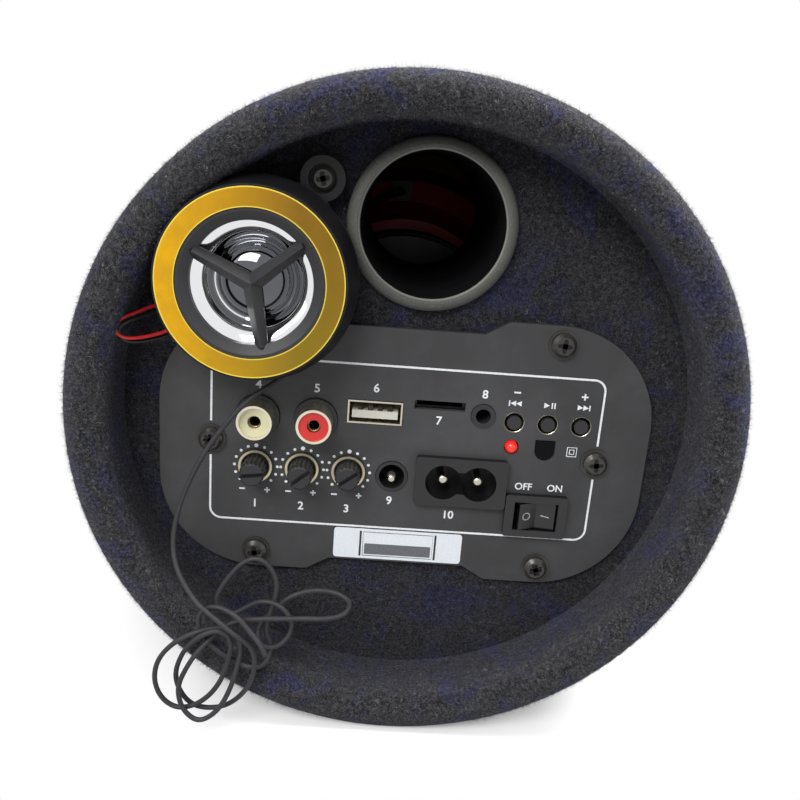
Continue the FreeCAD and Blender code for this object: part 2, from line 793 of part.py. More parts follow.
def make_felt():
    """The felt wraps the tube, rolls over its rear rim and lines the recess."""
    rear = rim_y + d.felt_wrap
    roll_y = rim_y + roll_radius
    roll_x = d.body_radius - roll_radius
    wrap = turned("felt", 0, axis_z, [
        (as_size(lining_radius), felt_y),
        (tube_inner, felt_y),
        (tube_inner, rear),
        (tube_outer, rear),
        (tube_outer, tube_front),
        (as_size(d.body_radius), tube_front),
        (as_size(d.body_radius), roll_y, (roll_x, roll_y), "right"),
        (roll_x, rim_y, (roll_x, roll_y), "right"),
        (as_size(lining_radius), roll_y),
    ])
    below = box_between(
        -d.body_radius, d.body_radius, -d.overall_length, d.overall_length, -d.body_radius, 0)
    part("carpet_wrap", cut(wrap, below))


def disc(name, y, thickness, radius, holes):
    """A round plate on the tube's axis, with holes measured from the tube's axis."""
    body = new_body(name)
    sketch = sketch_on(body, "XZ_Plane", -as_size(y))
    circle(sketch, 0, 0, radius)
    for hole in holes:
        if isinstance(hole, tuple):
            circle(sketch, *hole)
        else:
            outline(sketch, hole)
    pad = body.newObject("PartDesign::Pad", "disc")
    pad.Profile = sketch
    pad.Reversed = True
    bind(pad, "Length", thickness)
    body.Tip = pad
    return place(body, 0, 0, axis_z)


def lowered(corners):
    """Corners given from the panel's centre, moved to the tube's axis."""
    moved = []
    for corner in corners:
        if len(corner) == 2:
            moved.append((corner[0], corner[1] - d.panel_drop))
        else:
            centre = (corner[2][0], corner[2][1] - d.panel_drop)
            moved.append((corner[0], corner[1] - d.panel_drop, centre, corner[3]))
    return moved


def amplifier_cutout(margin=0):
    """Corners of the hole behind the panel: wide above, narrower between the side screws."""
    half = d.cutout_half_width + margin
    wing = half + d.cutout_wing
    top = d.cutout_top + margin
    bottom = -(d.cutout_bottom + margin)
    step = as_size(d.cutout_wing_z)
    return lowered([
        (-half, bottom),
        (half, bottom),
        (half, step),
        (wing, step),
        (wing, top),
        (-wing, top),
        (-wing, step),
        (-half, step),
    ])


def rear_holes(pilot):
    """Screw holes and the tweeter lead's hole, from the tube's axis."""
    holes = [(x, z - d.panel_drop, pilot) for x, z in panel_screw_places()]
    ear_x = d.tweeter_x + d.ear_x
    ear_z = d.tweeter_z + d.ear_z - d.panel_drop
    holes.append((ear_x, ear_z, pilot))
    holes.append((as_size(d.lead_hole_x), d.lead_hole_z - d.panel_drop, d.lead_hole))
    return holes


def make_rear_baffle():
    port_hole = d.port_bore + d.port_wall + d.seat_gap
    port = (as_size(d.port_x), as_size(d.port_z), port_hole)
    part("rear_baffle", disc(
        "baffle", baffle_y, d.baffle_thick, tube_inner,
        [port, amplifier_cutout()] + rear_holes(d.screw_shank)))
    part("baffle_felt", disc(
        "baffle_felt", felt_y, d.baffle_felt_thick, tube_inner,
        [port, amplifier_cutout()] + rear_holes(d.screw_shank)))


def make_front_baffle():
    holes = [(as_size(0), as_size(0), woofer_cutout)]
    for turn in WOOFER_SCREW_ANGLES:
        holes.append((
            woofer_screw_circle * math.cos(math.radians(turn)),
            woofer_screw_circle * math.sin(math.radians(turn)),
            d.screw_shank,
        ))
    part("front_baffle", disc("front", mount_y - d.baffle_thick, d.baffle_thick, tube_inner, holes))


def make_port():
    """The port: a plain tube with a rounded flange that covers the felt's edge."""
    bore = as_size(d.port_bore)
    outside = bore + d.port_wall
    front = felt_y - d.port_flange_high
    shoulder = d.port_flange_high * PORT_ROUNDING
    face_edge = d.port_flange - shoulder
    lip = as_size(d.port_lip)
    part("port_tube", turned("port", d.port_x, port_centre_z, [
        (bore, felt_y + d.port_length),
        (bore, front + lip, (bore + lip, front + lip), "left"),
        (bore + lip, front),
        (face_edge, front, (face_edge, front + shoulder), "left"),
        (face_edge + shoulder, front + shoulder),
        (as_size(d.port_flange), felt_y),
        (outside, felt_y),
        (outside, felt_y + d.port_length),
    ]))


# --- screws --------------------------------------------------------------------------------

def screw(x, z, seat_y, head, washer, into_wood):
    """A cross-head screw whose head stands on seat_y and faces -Y."""
    pieces = []
    head_foot = seat_y
    if washer:
        pieces.append(cylinder(d.screw_washer, d.screw_washer_thick, x, seat_y - d.screw_washer_thick, z))
        head_foot = seat_y - d.screw_washer_thick
    rim = as_size(d.screw_head_high) * SCREW_RIM
    pieces.append(turned("head", x, z, [
        (as_size(0), head_foot),
        (as_size(0), head_foot - d.screw_head_high),
        (head * SCREW_CROWN, head_foot - d.screw_head_high),
        (as_size(head), head_foot - rim),
        (as_size(head), head_foot),
    ]))
    pieces.append(cylinder(d.screw_shank, into_wood, x, seat_y, z))
    recess_y = head_foot - d.screw_head_high
    arms = [
        box(x, d.cross_arm * 2, recess_y, d.cross_deep, z, d.cross_width),
        box(x, d.cross_width, recess_y, d.cross_deep, z, d.cross_arm * 2),
    ]
    return cut(joined(*pieces), *arms)


def make_screws():
    through = d.panel_thick + d.baffle_felt_thick + d.screw_grip
    screws = [
        screw(x, panel_z + z, panel_y, d.screw_head, True, through)
        for x, z in panel_screw_places()
    ]
    part("panel_screws", group(*screws))
    ear_x = d.tweeter_x + d.ear_x
    ear_z = tweeter_centre_z + d.ear_z
    seat = ahead(d.ear_high - d.ear_well_deep)
    reach = baffle_y + d.screw_grip - seat
    part("tweeter_screw", screw(ear_x, ear_z, seat, d.ear_screw_head, False, reach))
    front_screws = []
    for turn in WOOFER_SCREW_ANGLES:
        x = woofer_screw_circle * math.cos(math.radians(turn))
        z = axis_z + woofer_screw_circle * math.sin(math.radians(turn))
        front_screws.append(front_screw(x, z))
    part("woofer_screws", group(*front_screws))


def front_screw(x, z):
    """A cross-head screw that faces +Y and holds the woofer."""
    seat = mount_y + d.basket_sheet
    head = turned("head", x, z, [
        (as_size(0), seat),
        (as_size(d.screw_head), seat),
        (as_size(d.screw_head), seat + d.screw_head_high * SCREW_RIM),
        (d.screw_head * SCREW_CROWN, seat + d.screw_head_high),
        (as_size(0), seat + d.screw_head_high),
    ])
    shank = cylinder(d.screw_shank, d.basket_sheet + d.screw_grip, x, mount_y - d.screw_grip, z)
    deep = seat + d.screw_head_high - d.cross_deep
    arms = [
        box(x, d.cross_arm * 2, deep, d.cross_deep, z, d.cross_width),
        box(x, d.cross_width, deep, d.cross_deep, z, d.cross_arm * 2),
    ]
    return cut(joined(head, shank), *arms)


# --- amplifier panel -----------------------------------------------------------------------

def button_places():
    return [d.button_x + d.button_pitch * number for number in range(BUTTONS)]


def pot_places():
    return [d.pot_first_x + d.pot_pitch * number for number in range(POTS)]


def phono_places():
    return [-as_size(d.phono_x), -as_size(d.phono_x) + d.phono_pitch]


def eye_outline(margin):
    """Corners of the remote control's window: flat above, round below."""
    half = d.eye_half_width + margin
    top = d.eye_top + margin
    middle = d.eye_top - d.eye_high + d.eye_half_width
    centre = (as_size(d.eye_x), middle)
    return [
        (d.eye_x - half, top),
        (d.eye_x - half, middle, centre, "left"),
        (d.eye_x + half, middle),
        (d.eye_x + half, top),
    ]


def make_panel():
    seat = d.seat_gap
    mains_body = d.mains_body_margin * 2 - seat * 2
    rocker_body = d.rocker_body_margin * 2 - seat * 2
    holes = [(x, z, d.screw_shank) for x, z in panel_screw_places()]
    holes += [(x, as_size(d.phono_z), d.phono_collar + seat) for x in phono_places()]
    holes += [(x, as_size(d.pot_z), d.bushing_neck + seat) for x in pot_places()]
    holes += [(x, as_size(d.button_z), d.button_hole) for x in button_places()]
    holes += [
        (as_size(d.jack_x), as_size(d.jack_z), d.jack_nose + seat),
        (as_size(d.led_x), as_size(d.led_z), d.led_hole),
        (as_size(d.supply_x), as_size(d.supply_z), d.supply_nose + seat),
        (as_size(d.antenna_x), as_size(d.antenna_z), d.antenna_radius + d.running_gap + seat),
        rectangle(d.usb_x, d.usb_z, d.usb_width + seat * 2, d.usb_high + seat * 2),
        rectangle(d.card_x, d.card_z, d.card_slot_width, d.card_slot_high),
        rectangle(d.mains_x, d.mains_z, d.mains_width - mains_body, d.mains_high - mains_body),
        rectangle(d.rocker_x, d.rocker_z, d.rocker_width - rocker_body, d.rocker_high - rocker_body),
        eye_outline(seat),
    ]
    part("amp_panel", plate("panel", 0, panel_z, panel_y, d.panel_thick, panel_outline(), holes))


def make_boards():
    front = panel_back + d.board_gap
    top = panel_z + d.media_board_z + d.board_thick
    board = box_between(
        -d.media_board_left, d.media_board_right, front, behind(d.media_board_deep),
        panel_z + d.media_board_z, top)
    plugs = [
        box_between(
            x - d.plug_side / 2, x + d.plug_side / 2, behind(start), behind(start + d.plug_side),
            top, top + high)
        for x, start, high in (
            (d.tweeter_plug_x, d.tweeter_plug_from, d.tweeter_plug_high),
            (d.antenna_plug_x, d.antenna_plug_from, d.antenna_plug_high),
        )
    ]
    part("media_board", joined(board, *plugs))
    board_top = panel_z + d.power_board_z
    narrow = box_between(
        -d.media_board_left, d.power_board_right, front, behind(d.power_board_deep),
        board_top - d.board_thick, board_top)
    wide = box_between(
        d.power_board_right - 1, d.media_board_left, behind(d.power_board_step),
        behind(d.power_board_deep), board_top - d.board_thick, board_top)
    side = as_size(d.connector_side)
    y = behind(d.connector_from)
    connector = box_between(
        d.connector_x - side, d.connector_x + side, y, y + side, board_top,
        board_top + d.connector_high)
    part("power_board", joined(narrow, wide, connector))


def make_phono_sockets():
    z = panel_z + d.phono_z
    left, right = phono_places()
    front = panel_back + d.board_gap
    margin = as_size(d.phono_block_margin)
    block = box_between(
        left - margin, right + margin, front, front + d.phono_block_deep,
        z - margin, panel_z + d.media_board_z)
    sleeve_back = front + d.phono_block_deep - d.phono_block_floor
    collar_front = ahead(d.phono_collar_high)
    stem = d.phono_sleeve - d.phono_shoulder
    solids = [block]
    bores = []
    for x in (left, right):
        solids.append(cylinder(d.phono_collar, front - collar_front, x, collar_front, z))
        bores.append(cylinder(stem, sleeve_back - collar_front, x, collar_front, z))
    part("phono_block", cut(joined(*solids), *bores))
    sleeves = []
    for x in (left, right):
        tip = ahead(d.phono_reach)
        proud = cylinder(d.phono_sleeve, collar_front - tip, x, tip, z)
        within = cylinder(stem, sleeve_back - tip, x, tip, z)
        inside = cylinder(d.phono_sleeve - d.phono_sleeve_wall, sleeve_back - tip, x, tip, z)
        sleeves.append(cut(joined(proud, within), inside))
    part("phono_sleeves", group(*sleeves))
    for label, x in (("phono_insert_left", left), ("phono_insert_right", right)):
        tip = ahead(d.phono_reach - d.phono_inset)
        insert = cylinder(d.phono_sleeve - d.phono_sleeve_wall, sleeve_back - tip, x, tip, z)
        contact = cylinder(d.phono_contact, sleeve_back - tip - d.phono_block_floor, x, tip, z)
        part(label, cut(insert, contact))


def make_usb_socket():
    z = panel_z + d.usb_z
    front = ahead(d.usb_proud)
    wall = as_size(d.usb_wall)
    shell = box(d.usb_x, d.usb_width, front, d.usb_deep, z, d.usb_high)
    inside = d.usb_width - wall * 2
    inside_high = d.usb_high - wall * 2
    hollow = box(d.usb_x, inside, front, d.usb_deep - d.usb_floor, z, inside_high)
    leg_half = d.usb_width * USB_LEG_PART
    leg_y = behind(d.usb_deep / 2)
    leg = box_between(
        d.usb_x - leg_half, d.usb_x + leg_half, leg_y, leg_y + d.usb_leg_thick,
        z + d.usb_high / 2 - wall, panel_z + d.media_board_z)
    part("usb_socket", joined(cut(shell, hollow), leg))
    tongue_z = z - d.usb_tongue_drop
    back = front + d.usb_deep - d.usb_floor
    tongue_y = front + d.usb_tongue_inset
    tongue = box(
        d.usb_x, d.usb_tongue_width, tongue_y, back - tongue_y, tongue_z, d.usb_tongue_thick)
    root = box(d.usb_x, inside, back - d.usb_root_thick, d.usb_root_thick, z, inside_high)
    part("usb_tongue", joined(tongue, root))


def make_card_socket():
    z = panel_z + d.card_z
    front = panel_back + d.board_gap
    top = panel_z + d.media_board_z
    body = box_between(
        d.card_x - d.card_slot_width / 2, d.card_x + d.card_slot_width / 2, front,
        front + d.card_deep, z - d.card_slot_high / 2, top)
    mouth = box(
        d.card_x, d.card_slot_width - d.card_side * 2, front, d.card_deep - d.card_floor, z,
        d.card_mouth_high)
    part("card_socket", cut(body, mouth))


def make_jack():
    z = panel_z + d.jack_z
    front = panel_back + d.board_gap
    body = box_between(
        d.jack_x - d.jack_nose, d.jack_x + d.jack_nose, front, front + d.jack_deep,
        z - d.jack_nose, panel_z + d.media_board_z)
    edge = ahead(d.jack_proud)
    nose = cylinder(d.jack_nose, front - edge, d.jack_x, edge, z)
    bore_deep = front - edge + d.jack_deep - d.jack_floor
    bore = cylinder(d.jack_bore, bore_deep, d.jack_x, edge, z)
    part("remote_jack", cut(joined(body, nose), bore))


def make_buttons():
    z = panel_z + d.button_z
    body_front = behind(d.switch_body_deep)
    top = panel_z + d.media_board_z
    half = d.switch_body_side / 2
    switches = []
    for x in button_places():
        case = box_between(
            x - half, x + half, body_front, body_front + d.switch_body_thick, z - half, top)
        bore = cylinder(
            d.button_stem + d.running_gap, d.switch_body_thick - d.switch_floor, x, body_front, z)
        switches.append(cut(case, bore))
    part("tact_switches", group(*switches))
    cap_back = body_front - d.button_travel - d.running_gap
    for label, x in zip(("button_previous", "button_play", "button_next"), button_places()):
        cap = cylinder(d.button_cap, cap_back - ahead(d.button_proud), x, ahead(d.button_proud), z)
        reach = d.running_gap + d.button_travel + d.stem_reach
        stem = cylinder(d.button_stem, reach, x, cap_back, z)
        part(label, joined(cap, stem))


def leg_pair(x, z):
    """Two bent legs that hang a small component from the upper board."""
    legs = []
    for side in (-1, 1):
        middle = as_size(x) + d.leg_half_pitch * side
        legs.append(box_between(
            middle - d.leg_side / 2, middle + d.leg_side / 2, behind(d.leg_deep),
            behind(d.leg_deep) + d.leg_side, z, panel_z + d.media_board_z))
    return legs


def make_lamp_and_eye():
    z = panel_z + d.led_z
    crown = as_size(d.led_radius)
    dome_foot = ahead(d.led_proud - d.led_radius)
    lamp = turned("lamp", d.led_x, z, [
        (as_size(0), ahead(d.led_proud), (as_size(0), dome_foot), "left"),
        (crown, dome_foot),
        (crown, behind(d.leg_deep) + d.leg_side),
        (as_size(0), behind(d.leg_deep) + d.leg_side),
    ])
    part("status_led", joined(lamp, *leg_pair(d.led_x, z)))
    depth = d.leg_deep + d.leg_side
    lens = plate("eye", 0, panel_z, ahead(d.eye_proud), depth + d.eye_proud, eye_outline(0))
    part("remote_window", joined(lens, *leg_pair(d.eye_x, panel_z + d.eye_top - d.eye_leg_drop)))


def knurled_shaft(x, reach):
    """A slotted control shaft with a knurled flank, its slot level."""
    z = panel_z + d.pot_z
    tip = as_size(reach)
    radius = as_size(d.shaft_radius)
    chamfer = as_size(d.shaft_chamfer)
    core = turned("shaft", 0, 0, [
        (as_size(0), -tip),
        (radius - chamfer, -tip),
        (radius, -tip + chamfer),
        (radius, as_size(d.shaft_sunk)),
        (as_size(0), as_size(d.shaft_sunk)),
    ])
    body = core
    groove_sketch = sketch_on(body, "XZ_Plane", tip)
    circle(groove_sketch, radius + d.knurl_deep, 0, d.knurl_deep * 2)
    groove = body.newObject("PartDesign::Pocket", "groove")
    groove.Profile = groove_sketch
    bind(groove, "Length", tip - 1)
    body.Tip = groove
    doc.recompute()
    knurl = body.newObject("PartDesign::PolarPattern", "knurl")
    knurl.Originals = [groove]
    knurl.Axis = (origin_plane(body, "Y_Axis"), [""])
    knurl.Angle = FULL_TURN
    knurl.Occurrences = KNURLS
    body.Tip = knurl
    slot = box(0, radius * 3, -tip, d.slot_deep, 0, d.slot_width)
    return cut(body, slot), z


def make_controls():
    z = panel_z + d.pot_z
    front = panel_back + d.board_gap
    bodies = []
    for x in pot_places():
        case = box_between(
            x - d.pot_side / 2, x + d.pot_side / 2, front, front + d.pot_deep,
            panel_z + d.power_board_z, z + d.pot_top)
        flange = cylinder(d.bushing_radius, d.bushing_proud, x, ahead(d.bushing_proud), z)
        neck = cylinder(d.bushing_neck, front - panel_y, x, panel_y, z)
        bore = cylinder(
            d.shaft_radius + d.running_gap,
            d.shaft_sunk + d.running_gap + d.bushing_proud, x, ahead(d.bushing_proud), z)
        bodies.append(cut(joined(case, flange, neck), bore))
    part("pot_bodies", group(*bodies))
    shafts = (
        ("volume_shaft", d.shaft_reach, d.volume_angle),
        ("treble_shaft", d.shaft_reach, d.treble_angle),
        ("bass_shaft", d.shaft_reach_short, d.bass_angle),
    )
    for x, (label, reach, slot_angle) in zip(pot_places(), shafts):
        shaft, level = knurled_shaft(x, reach)
        place(shaft, x, panel_y, level, Rotation(Vector(0, -1, 0), slot_angle.number))
        bind(shaft, "Placement.Rotation.Angle", slot_angle)
        part(label, shaft)


def make_supply_socket():
    z = panel_z + d.supply_z
    front = panel_back + d.board_gap
    half = d.supply_side / 2
    body = box_between(
        d.supply_x - half, d.supply_x + half, front, front + d.supply_deep,
        panel_z + d.power_board_z, z + half)
    nose = cylinder(
        d.supply_nose, front - ahead(d.supply_proud), d.supply_x, ahead(d.supply_proud), z)
    bore_end = front + d.supply_deep - d.supply_floor
    bore = cylinder(
        d.supply_bore, bore_end - ahead(d.supply_proud), d.supply_x, ahead(d.supply_proud), z)
    pin_tip = behind(d.supply_pin_inset)
    pin = cylinder(d.supply_pin, bore_end - pin_tip, d.supply_x, pin_tip, z)
    part("supply_socket", joined(cut(joined(body, nose), bore), pin))


def make_mains_inlet():
    z = panel_z + d.mains_z
    face = ahead(d.mains_proud)
    collar = plate("collar", d.mains_x, z, face, d.mains_proud, rounded_rectangle(
        as_size(0), as_size(0), d.mains_width, d.mains_high, as_size(d.mains_corner)))
    margin = d.mains_body_margin * 2
    body = box(
        d.mains_x, d.mains_width - margin, panel_y, d.mains_deep, z, d.mains_high - margin)
    socket = [
        cylinder(d.mains_lobe, d.mains_socket_deep, d.mains_x + d.mains_half_pitch * side, face, z)
        for side in (-1, 1)
    ]
    socket.append(box(
        d.mains_x, d.mains_half_pitch * 2, face, d.mains_socket_deep, z, d.mains_waist))
    part("mains_inlet", cut(joined(collar, body), *socket))
    floor = face + d.mains_socket_deep
    tip = face + d.mains_pin_inset
    pins = [
        cylinder(d.mains_pin, floor - tip, d.mains_x + d.mains_half_pitch * side, tip, z)
        for side in (-1, 1)
    ]
    part("mains_pins", group(*pins))


def make_power_switch():
    z = panel_z + d.rocker_z
    face = ahead(d.rocker_proud)
    collar = plate("collar", d.rocker_x, z, face, d.rocker_proud, rounded_rectangle(
        as_size(0), as_size(0), d.rocker_width, d.rocker_high, as_size(d.rocker_corner)))
    margin = d.rocker_body_margin * 2
    body = box(
        d.rocker_x, d.rocker_width - margin, panel_y, d.rocker_deep, z, d.rocker_high - margin)
    well = box(
        d.rocker_x, d.rocker_opening, face, d.rocker_proud + d.rocker_deep - d.rocker_floor, z,
        d.rocker_opening_high)
    part("switch_housing", cut(joined(collar, body), well))
    half = as_size(d.rocker_half_length)
    end = as_size(d.rocker_end_high)
    belly = as_size(d.rocker_belly)
    thickness = d.rocker_opening_high - d.running_gap * 2
    body = new_body("rocker")
    sketch = sketch_on(body, "XY_Plane", -thickness / 2)
    outline(sketch, [
        (-half, -end),
        (as_size(0), d.rocker_dip - end),
        (half, -end),
        (half * ROCKER_SHOULDER, belly / 2),
        (as_size(0), belly),
        (half * -ROCKER_SHOULDER, belly / 2),
    ])
    pad = body.newObject("PartDesign::Pad", "rocker")
    pad.Profile = sketch
    bind(pad, "Length", thickness)
    body.Tip = pad
    tilt = Rotation(Vector(0, 0, 1), d.rocker_tilt_angle.number)
    place(body, d.rocker_x, behind(d.rocker_pivot_deep), z, tilt)
    bind(body, "Placement.Rotation.Angle", d.rocker_tilt_angle)
    part("switch_rocker", body)


def make_power_parts():
    board_top = panel_z + d.power_board_z
    start = behind(d.transformer_from)
    core = box_between(
        d.transformer_x - d.transformer_width / 2, d.transformer_x + d.transformer_width / 2,
        start, start + d.transformer_deep, board_top + d.transformer_coil_proud,
        board_top + d.transformer_high - d.transformer_coil_proud)
    coil_half = d.transformer_width * COIL_PART
    coil = box_between(
        d.transformer_x - coil_half, d.transformer_x + coil_half,
        start + d.transformer_coil_short, start + d.transformer_deep - d.transformer_coil_short,
        board_top, board_top + d.transformer_high)
    part("power_transformer", joined(core, coil))
    capacitors = []
    for number in range(CAPACITORS):
        y = behind(d.capacitor_from) + d.capacitor_pitch * number
        radius = as_size(d.capacitor_radius)
        can = cylinder(radius, d.capacitor_high, d.capacitor_x, y, board_top, Rotation())
        capacitors.append(can)
    part("filter_capacitors", group(*capacitors))
    body = new_body("heatsink")
    sketch = sketch_on(body, "XZ_Plane", -behind(d.heatsink_from))
    outline(sketch, heatsink_outline())
    pad = body.newObject("PartDesign::Pad", "extrusion")
    pad.Profile = sketch
    pad.Reversed = True
    bind(pad, "Length", d.heatsink_deep)
    body.Tip = pad
    place(body, d.heatsink_x, 0, board_top)
    part("heatsink", body)


def heatsink_outline():
    """Corners of the finned extrusion, from its lower left."""
    corners = [(as_size(0), as_size(0)), (as_size(d.heatsink_width), as_size(0))]
    fins = 1 + int((d.heatsink_width.number - d.fin_thick.number) // d.fin_pitch.number)
    base = as_size(d.heatsink_base)
    top = as_size(d.heatsink_high)
    for number in reversed(range(fins)):
        left = d.fin_pitch * number
        right = left + d.fin_thick
        if number == fins - 1:
            corners.append((as_size(d.heatsink_width), base))
        corners += [(right, base), (right, top), (left, top), (left, base)]
    return corners[:-1]


# --- tweeter -------------------------------------------------------------------------------

def make_tweeter():
    x = as_size(d.tweeter_x)
    z = tweeter_centre_z
    foot = as_size(d.tweeter_base)
    flange = as_size(d.tweeter_flange)
    head = as_size(d.tweeter_radius)
    wall = as_size(d.tweeter_wall)
    seat_y = ahead(d.tweeter_high - d.trim_thick)
    rim = ahead(d.tweeter_high - d.trim_proud)
    web_back = ahead(d.tweeter_web_high)
    web_front = web_back - d.tweeter_web_thick
    bore = as_size(d.tweeter_bore)
    seat = d.trim_outer + d.seat_gap
    housing = turned("housing", x, z, [
        (foot - wall, panel_y),
        (foot, panel_y),
        (foot, ahead(d.tweeter_foot_high)),
        (flange, ahead(d.tweeter_foot_high + d.tweeter_shoulder)),
        (flange, ahead(d.tweeter_flange_top)),
        (head, ahead(d.tweeter_head_from)),
        (head, rim),
        (seat, rim),
        (seat, seat_y),
        (bore, seat_y),
        (bore, web_front),
        (d.magnet_radius - 1, web_front),
        (d.magnet_radius - 1, web_back),
        (foot - wall, web_back),
    ])
    ear_x = x + d.ear_x
    ear_z = z + d.ear_z
    ear_deep = d.ear_high + d.panel_thick
    ear = cylinder(d.ear_radius, ear_deep, ear_x, ahead(d.ear_high), ear_z)
    lean = math.degrees(math.atan2(d.ear_x.number, d.ear_z.number))
    neck = doc.addObject("Part::Box", "neck")
    bind(neck, "Length", d.ear_radius * NECK_PART * 2)
    bind(neck, "Width", ear_deep)
    bind(neck, "Height", d.ear_z)
    turn = Rotation(Vector(0, 1, 0), lean)
    offset = d.ear_radius * NECK_PART
    place(
        neck, x - offset * math.cos(math.radians(lean)), ahead(d.ear_high),
        z + offset * math.sin(math.radians(lean)), turn)
    hollow = cylinder(foot - wall, ear_deep, x, ahead(d.ear_high), z)
    well = cylinder(d.ear_well, d.ear_well_deep, ear_x, ahead(d.ear_high), ear_z)
    hole = cylinder(d.screw_shank, ear_deep, ear_x, ahead(d.ear_high), ear_z)
    under = panel_room()
    ear_and_neck = cut(joined(ear, neck), hollow, well, hole, under)
    side = recess_wall(d.tweeter_wall_cut)
    part("tweeter_housing", cut(joined(housing, ear_and_neck), side))
    trim_front = ahead(d.tweeter_high)
    part("tweeter_trim_ring", turned("trim", x, z, [
        (as_size(d.trim_inner), trim_front),
        (as_size(d.trim_outer), trim_front),
        (as_size(d.trim_outer), seat_y),
        (as_size(d.trim_inner), seat_y),
    ]))
    make_tweeter_guard(x, z, seat_y)
    make_tweeter_inside(x, z, web_front, web_back, bore)


def recess_wall(high):
    """The felt around the recess up to a height above the panel's face, as a tool."""
    inner = lining_radius - d.tweeter_wall_gap
    return ring("wall", inner, inner + d.tweeter_flange, ahead(high), high)


def panel_room():
    """The space that the panel takes, as a tool."""
    return plate("room", 0, panel_z, panel_y, d.panel_thick, panel_outline(d.running_gap))


def make_tweeter_guard(x, z, seat_y):
    """A ring with three ridged spokes in front of the dome."""
    inner = as_size(d.grille_ring_inner)
    outer = as_size(d.trim_inner)
    back = ahead(d.tweeter_high - d.bowl_sunk)
    ring = turned("guard", x, z, [
        (inner, back),
        (outer, back),
        (outer, seat_y - d.grille_ring_sunk),
        (outer - d.grille_ring_lip, seat_y - d.grille_ring_sunk),
        (inner, seat_y + d.grille_ring_slope),
    ])
    spokes = []
    for turn in (d.spoke_right, d.spoke_left, d.spoke_low):
        spokes.append(spoke(x, z, seat_y, turn.number))
    part("tweeter_grille", joined(ring, *spokes))


def spoke(x, z, seat_y, turn):
    """A bar with a ridge from the hub to the ring, narrower at the ring."""
    length = d.grille_ring_inner + d.spoke_bite
    hub = as_size(d.spoke_hub_half)
    end = as_size(d.spoke_end_half)
    ridge = as_size(d.spoke_ridge_half)
    high = as_size(d.spoke_high)
    foot_y = seat_y + high - d.spoke_proud
    # In its own frame the roof runs along Z, its ridge along -Y.
    roof = wedge((-hub, hub), (-ridge, ridge), (0, length), (0, length), high)
    over = Rotation(Vector(0, 0, 1), 180)
    swing = Rotation(Vector(0, -1, 0), turn - 90)
    place(roof, x, foot_y, z, swing.multiply(over))
    # The plan runs along its own Y, from the hub's width to the end's.
    plan = wedge((-hub, hub), (-end, end), (0, high), (0, high), length)
    lie = Rotation(Vector(1, 0, 0), 90)
    place(plan, x, foot_y, z, swing.multiply(lie))
    return shared(roof, plan)


def make_tweeter_inside(x, z, web_front, web_back, bore):
    skin = as_size(d.bowl_skin)
    mouth = as_size(d.bowl_mouth)
    throat = d.dome_radius + d.running_gap
    bowl_top = ahead(d.tweeter_high - d.bowl_sunk)
    low = web_front - skin
    part("tweeter_reflector", turned("bowl", x, z, [
        (throat, web_front),
        (throat, low),
        (throat + d.bowl_step, low),
        (mouth - d.bowl_lip, bowl_top),
        (bore - d.bowl_gap, bowl_top),
        (bore - d.bowl_gap, bowl_top + skin),
        (mouth - d.bowl_lip_back, bowl_top + skin),
        (throat + d.bowl_cone_foot, web_front),
    ]))
    dome_foot = web_front - d.running_gap - d.dome_back
    radius = as_size(d.dome_radius)
    high = as_size(d.dome_high)
    skin = as_size(d.dome_skin)
    cap = doc.addObject("Part::Ellipsoid", "cap")
    bind(cap, "Radius1", high)
    bind(cap, "Radius2", radius)
    bind(cap, "Radius3", radius)
    place(cap, x, dome_foot, z, ALONG_Y)
    hollow = doc.addObject("Part::Ellipsoid", "hollow")
    bind(hollow, "Radius1", high - skin)
    bind(hollow, "Radius2", radius - skin)
    bind(hollow, "Radius3", radius - skin)
    place(hollow, x, dome_foot, z, ALONG_Y)
    behind_foot = box_between(
        x - radius * CLEAR, x + radius * CLEAR, dome_foot, dome_foot + high * CLEAR,
        z - radius * CLEAR, z + radius * CLEAR)
    part("tweeter_dome", cut(cap, hollow, behind_foot))
    step = cylinder(d.magnet_radius, d.magnet_high, x, web_back, z)
    pole = cylinder(
        d.magnet_radius - d.pole_step, web_back - web_front, x, web_front, z)
    part("tweeter_magnet", joined(step, pole))


# --- woofer --------------------------------------------------------------------------------

def make_woofer():
    flange_front = mount_y + d.basket_sheet
    sheet = as_size(d.basket_sheet)
    shelf_y = mount_y - d.basket_shelf_deep
    floor_y = mount_y - d.basket_floor_deep
    throat = woofer_throat
    floor = as_size(d.basket_floor)
    hole = as_size(d.gap_radius)
    drop = as_size(d.basket_shelf_drop)
    step = as_size(d.basket_step)
    ledge_y = floor_y + d.basket_ledge
    basket = turned("basket", 0, axis_z, [
        (hole, floor_y),
        (step, floor_y),
        (step, ledge_y),
        (floor, ledge_y),
        (shelf_inner, shelf_y - drop),
        (shelf_outer, shelf_y),
        (throat + sheet, mount_y),
        (woofer_radius, mount_y),
        (woofer_radius, flange_front),
        (throat, flange_front),
        (shelf_outer - sheet, shelf_y + sheet),
        (shelf_inner - sheet, shelf_y - drop + sheet),
        (floor - sheet, ledge_y + sheet),
        (step - sheet, ledge_y + sheet),
        (step - sheet, floor_y + sheet),
        (hole, floor_y + sheet),
    ])
    basket = windows(basket, floor, shelf_inner)
    holes = []
    for turn in WOOFER_SCREW_ANGLES:
        x = woofer_screw_circle * math.cos(math.radians(turn))
        z = axis_z + woofer_screw_circle * math.sin(math.radians(turn))
        holes.append(cylinder(d.screw_shank, sheet * 2, x, mount_y - sheet / 2, z))
    part("woofer_basket", cut(basket, *holes))
    make_motor(floor_y)
    make_moving_parts(floor_y, flange_front)
    make_spider(ledge_y + sheet, floor - sheet - d.seat_gap)


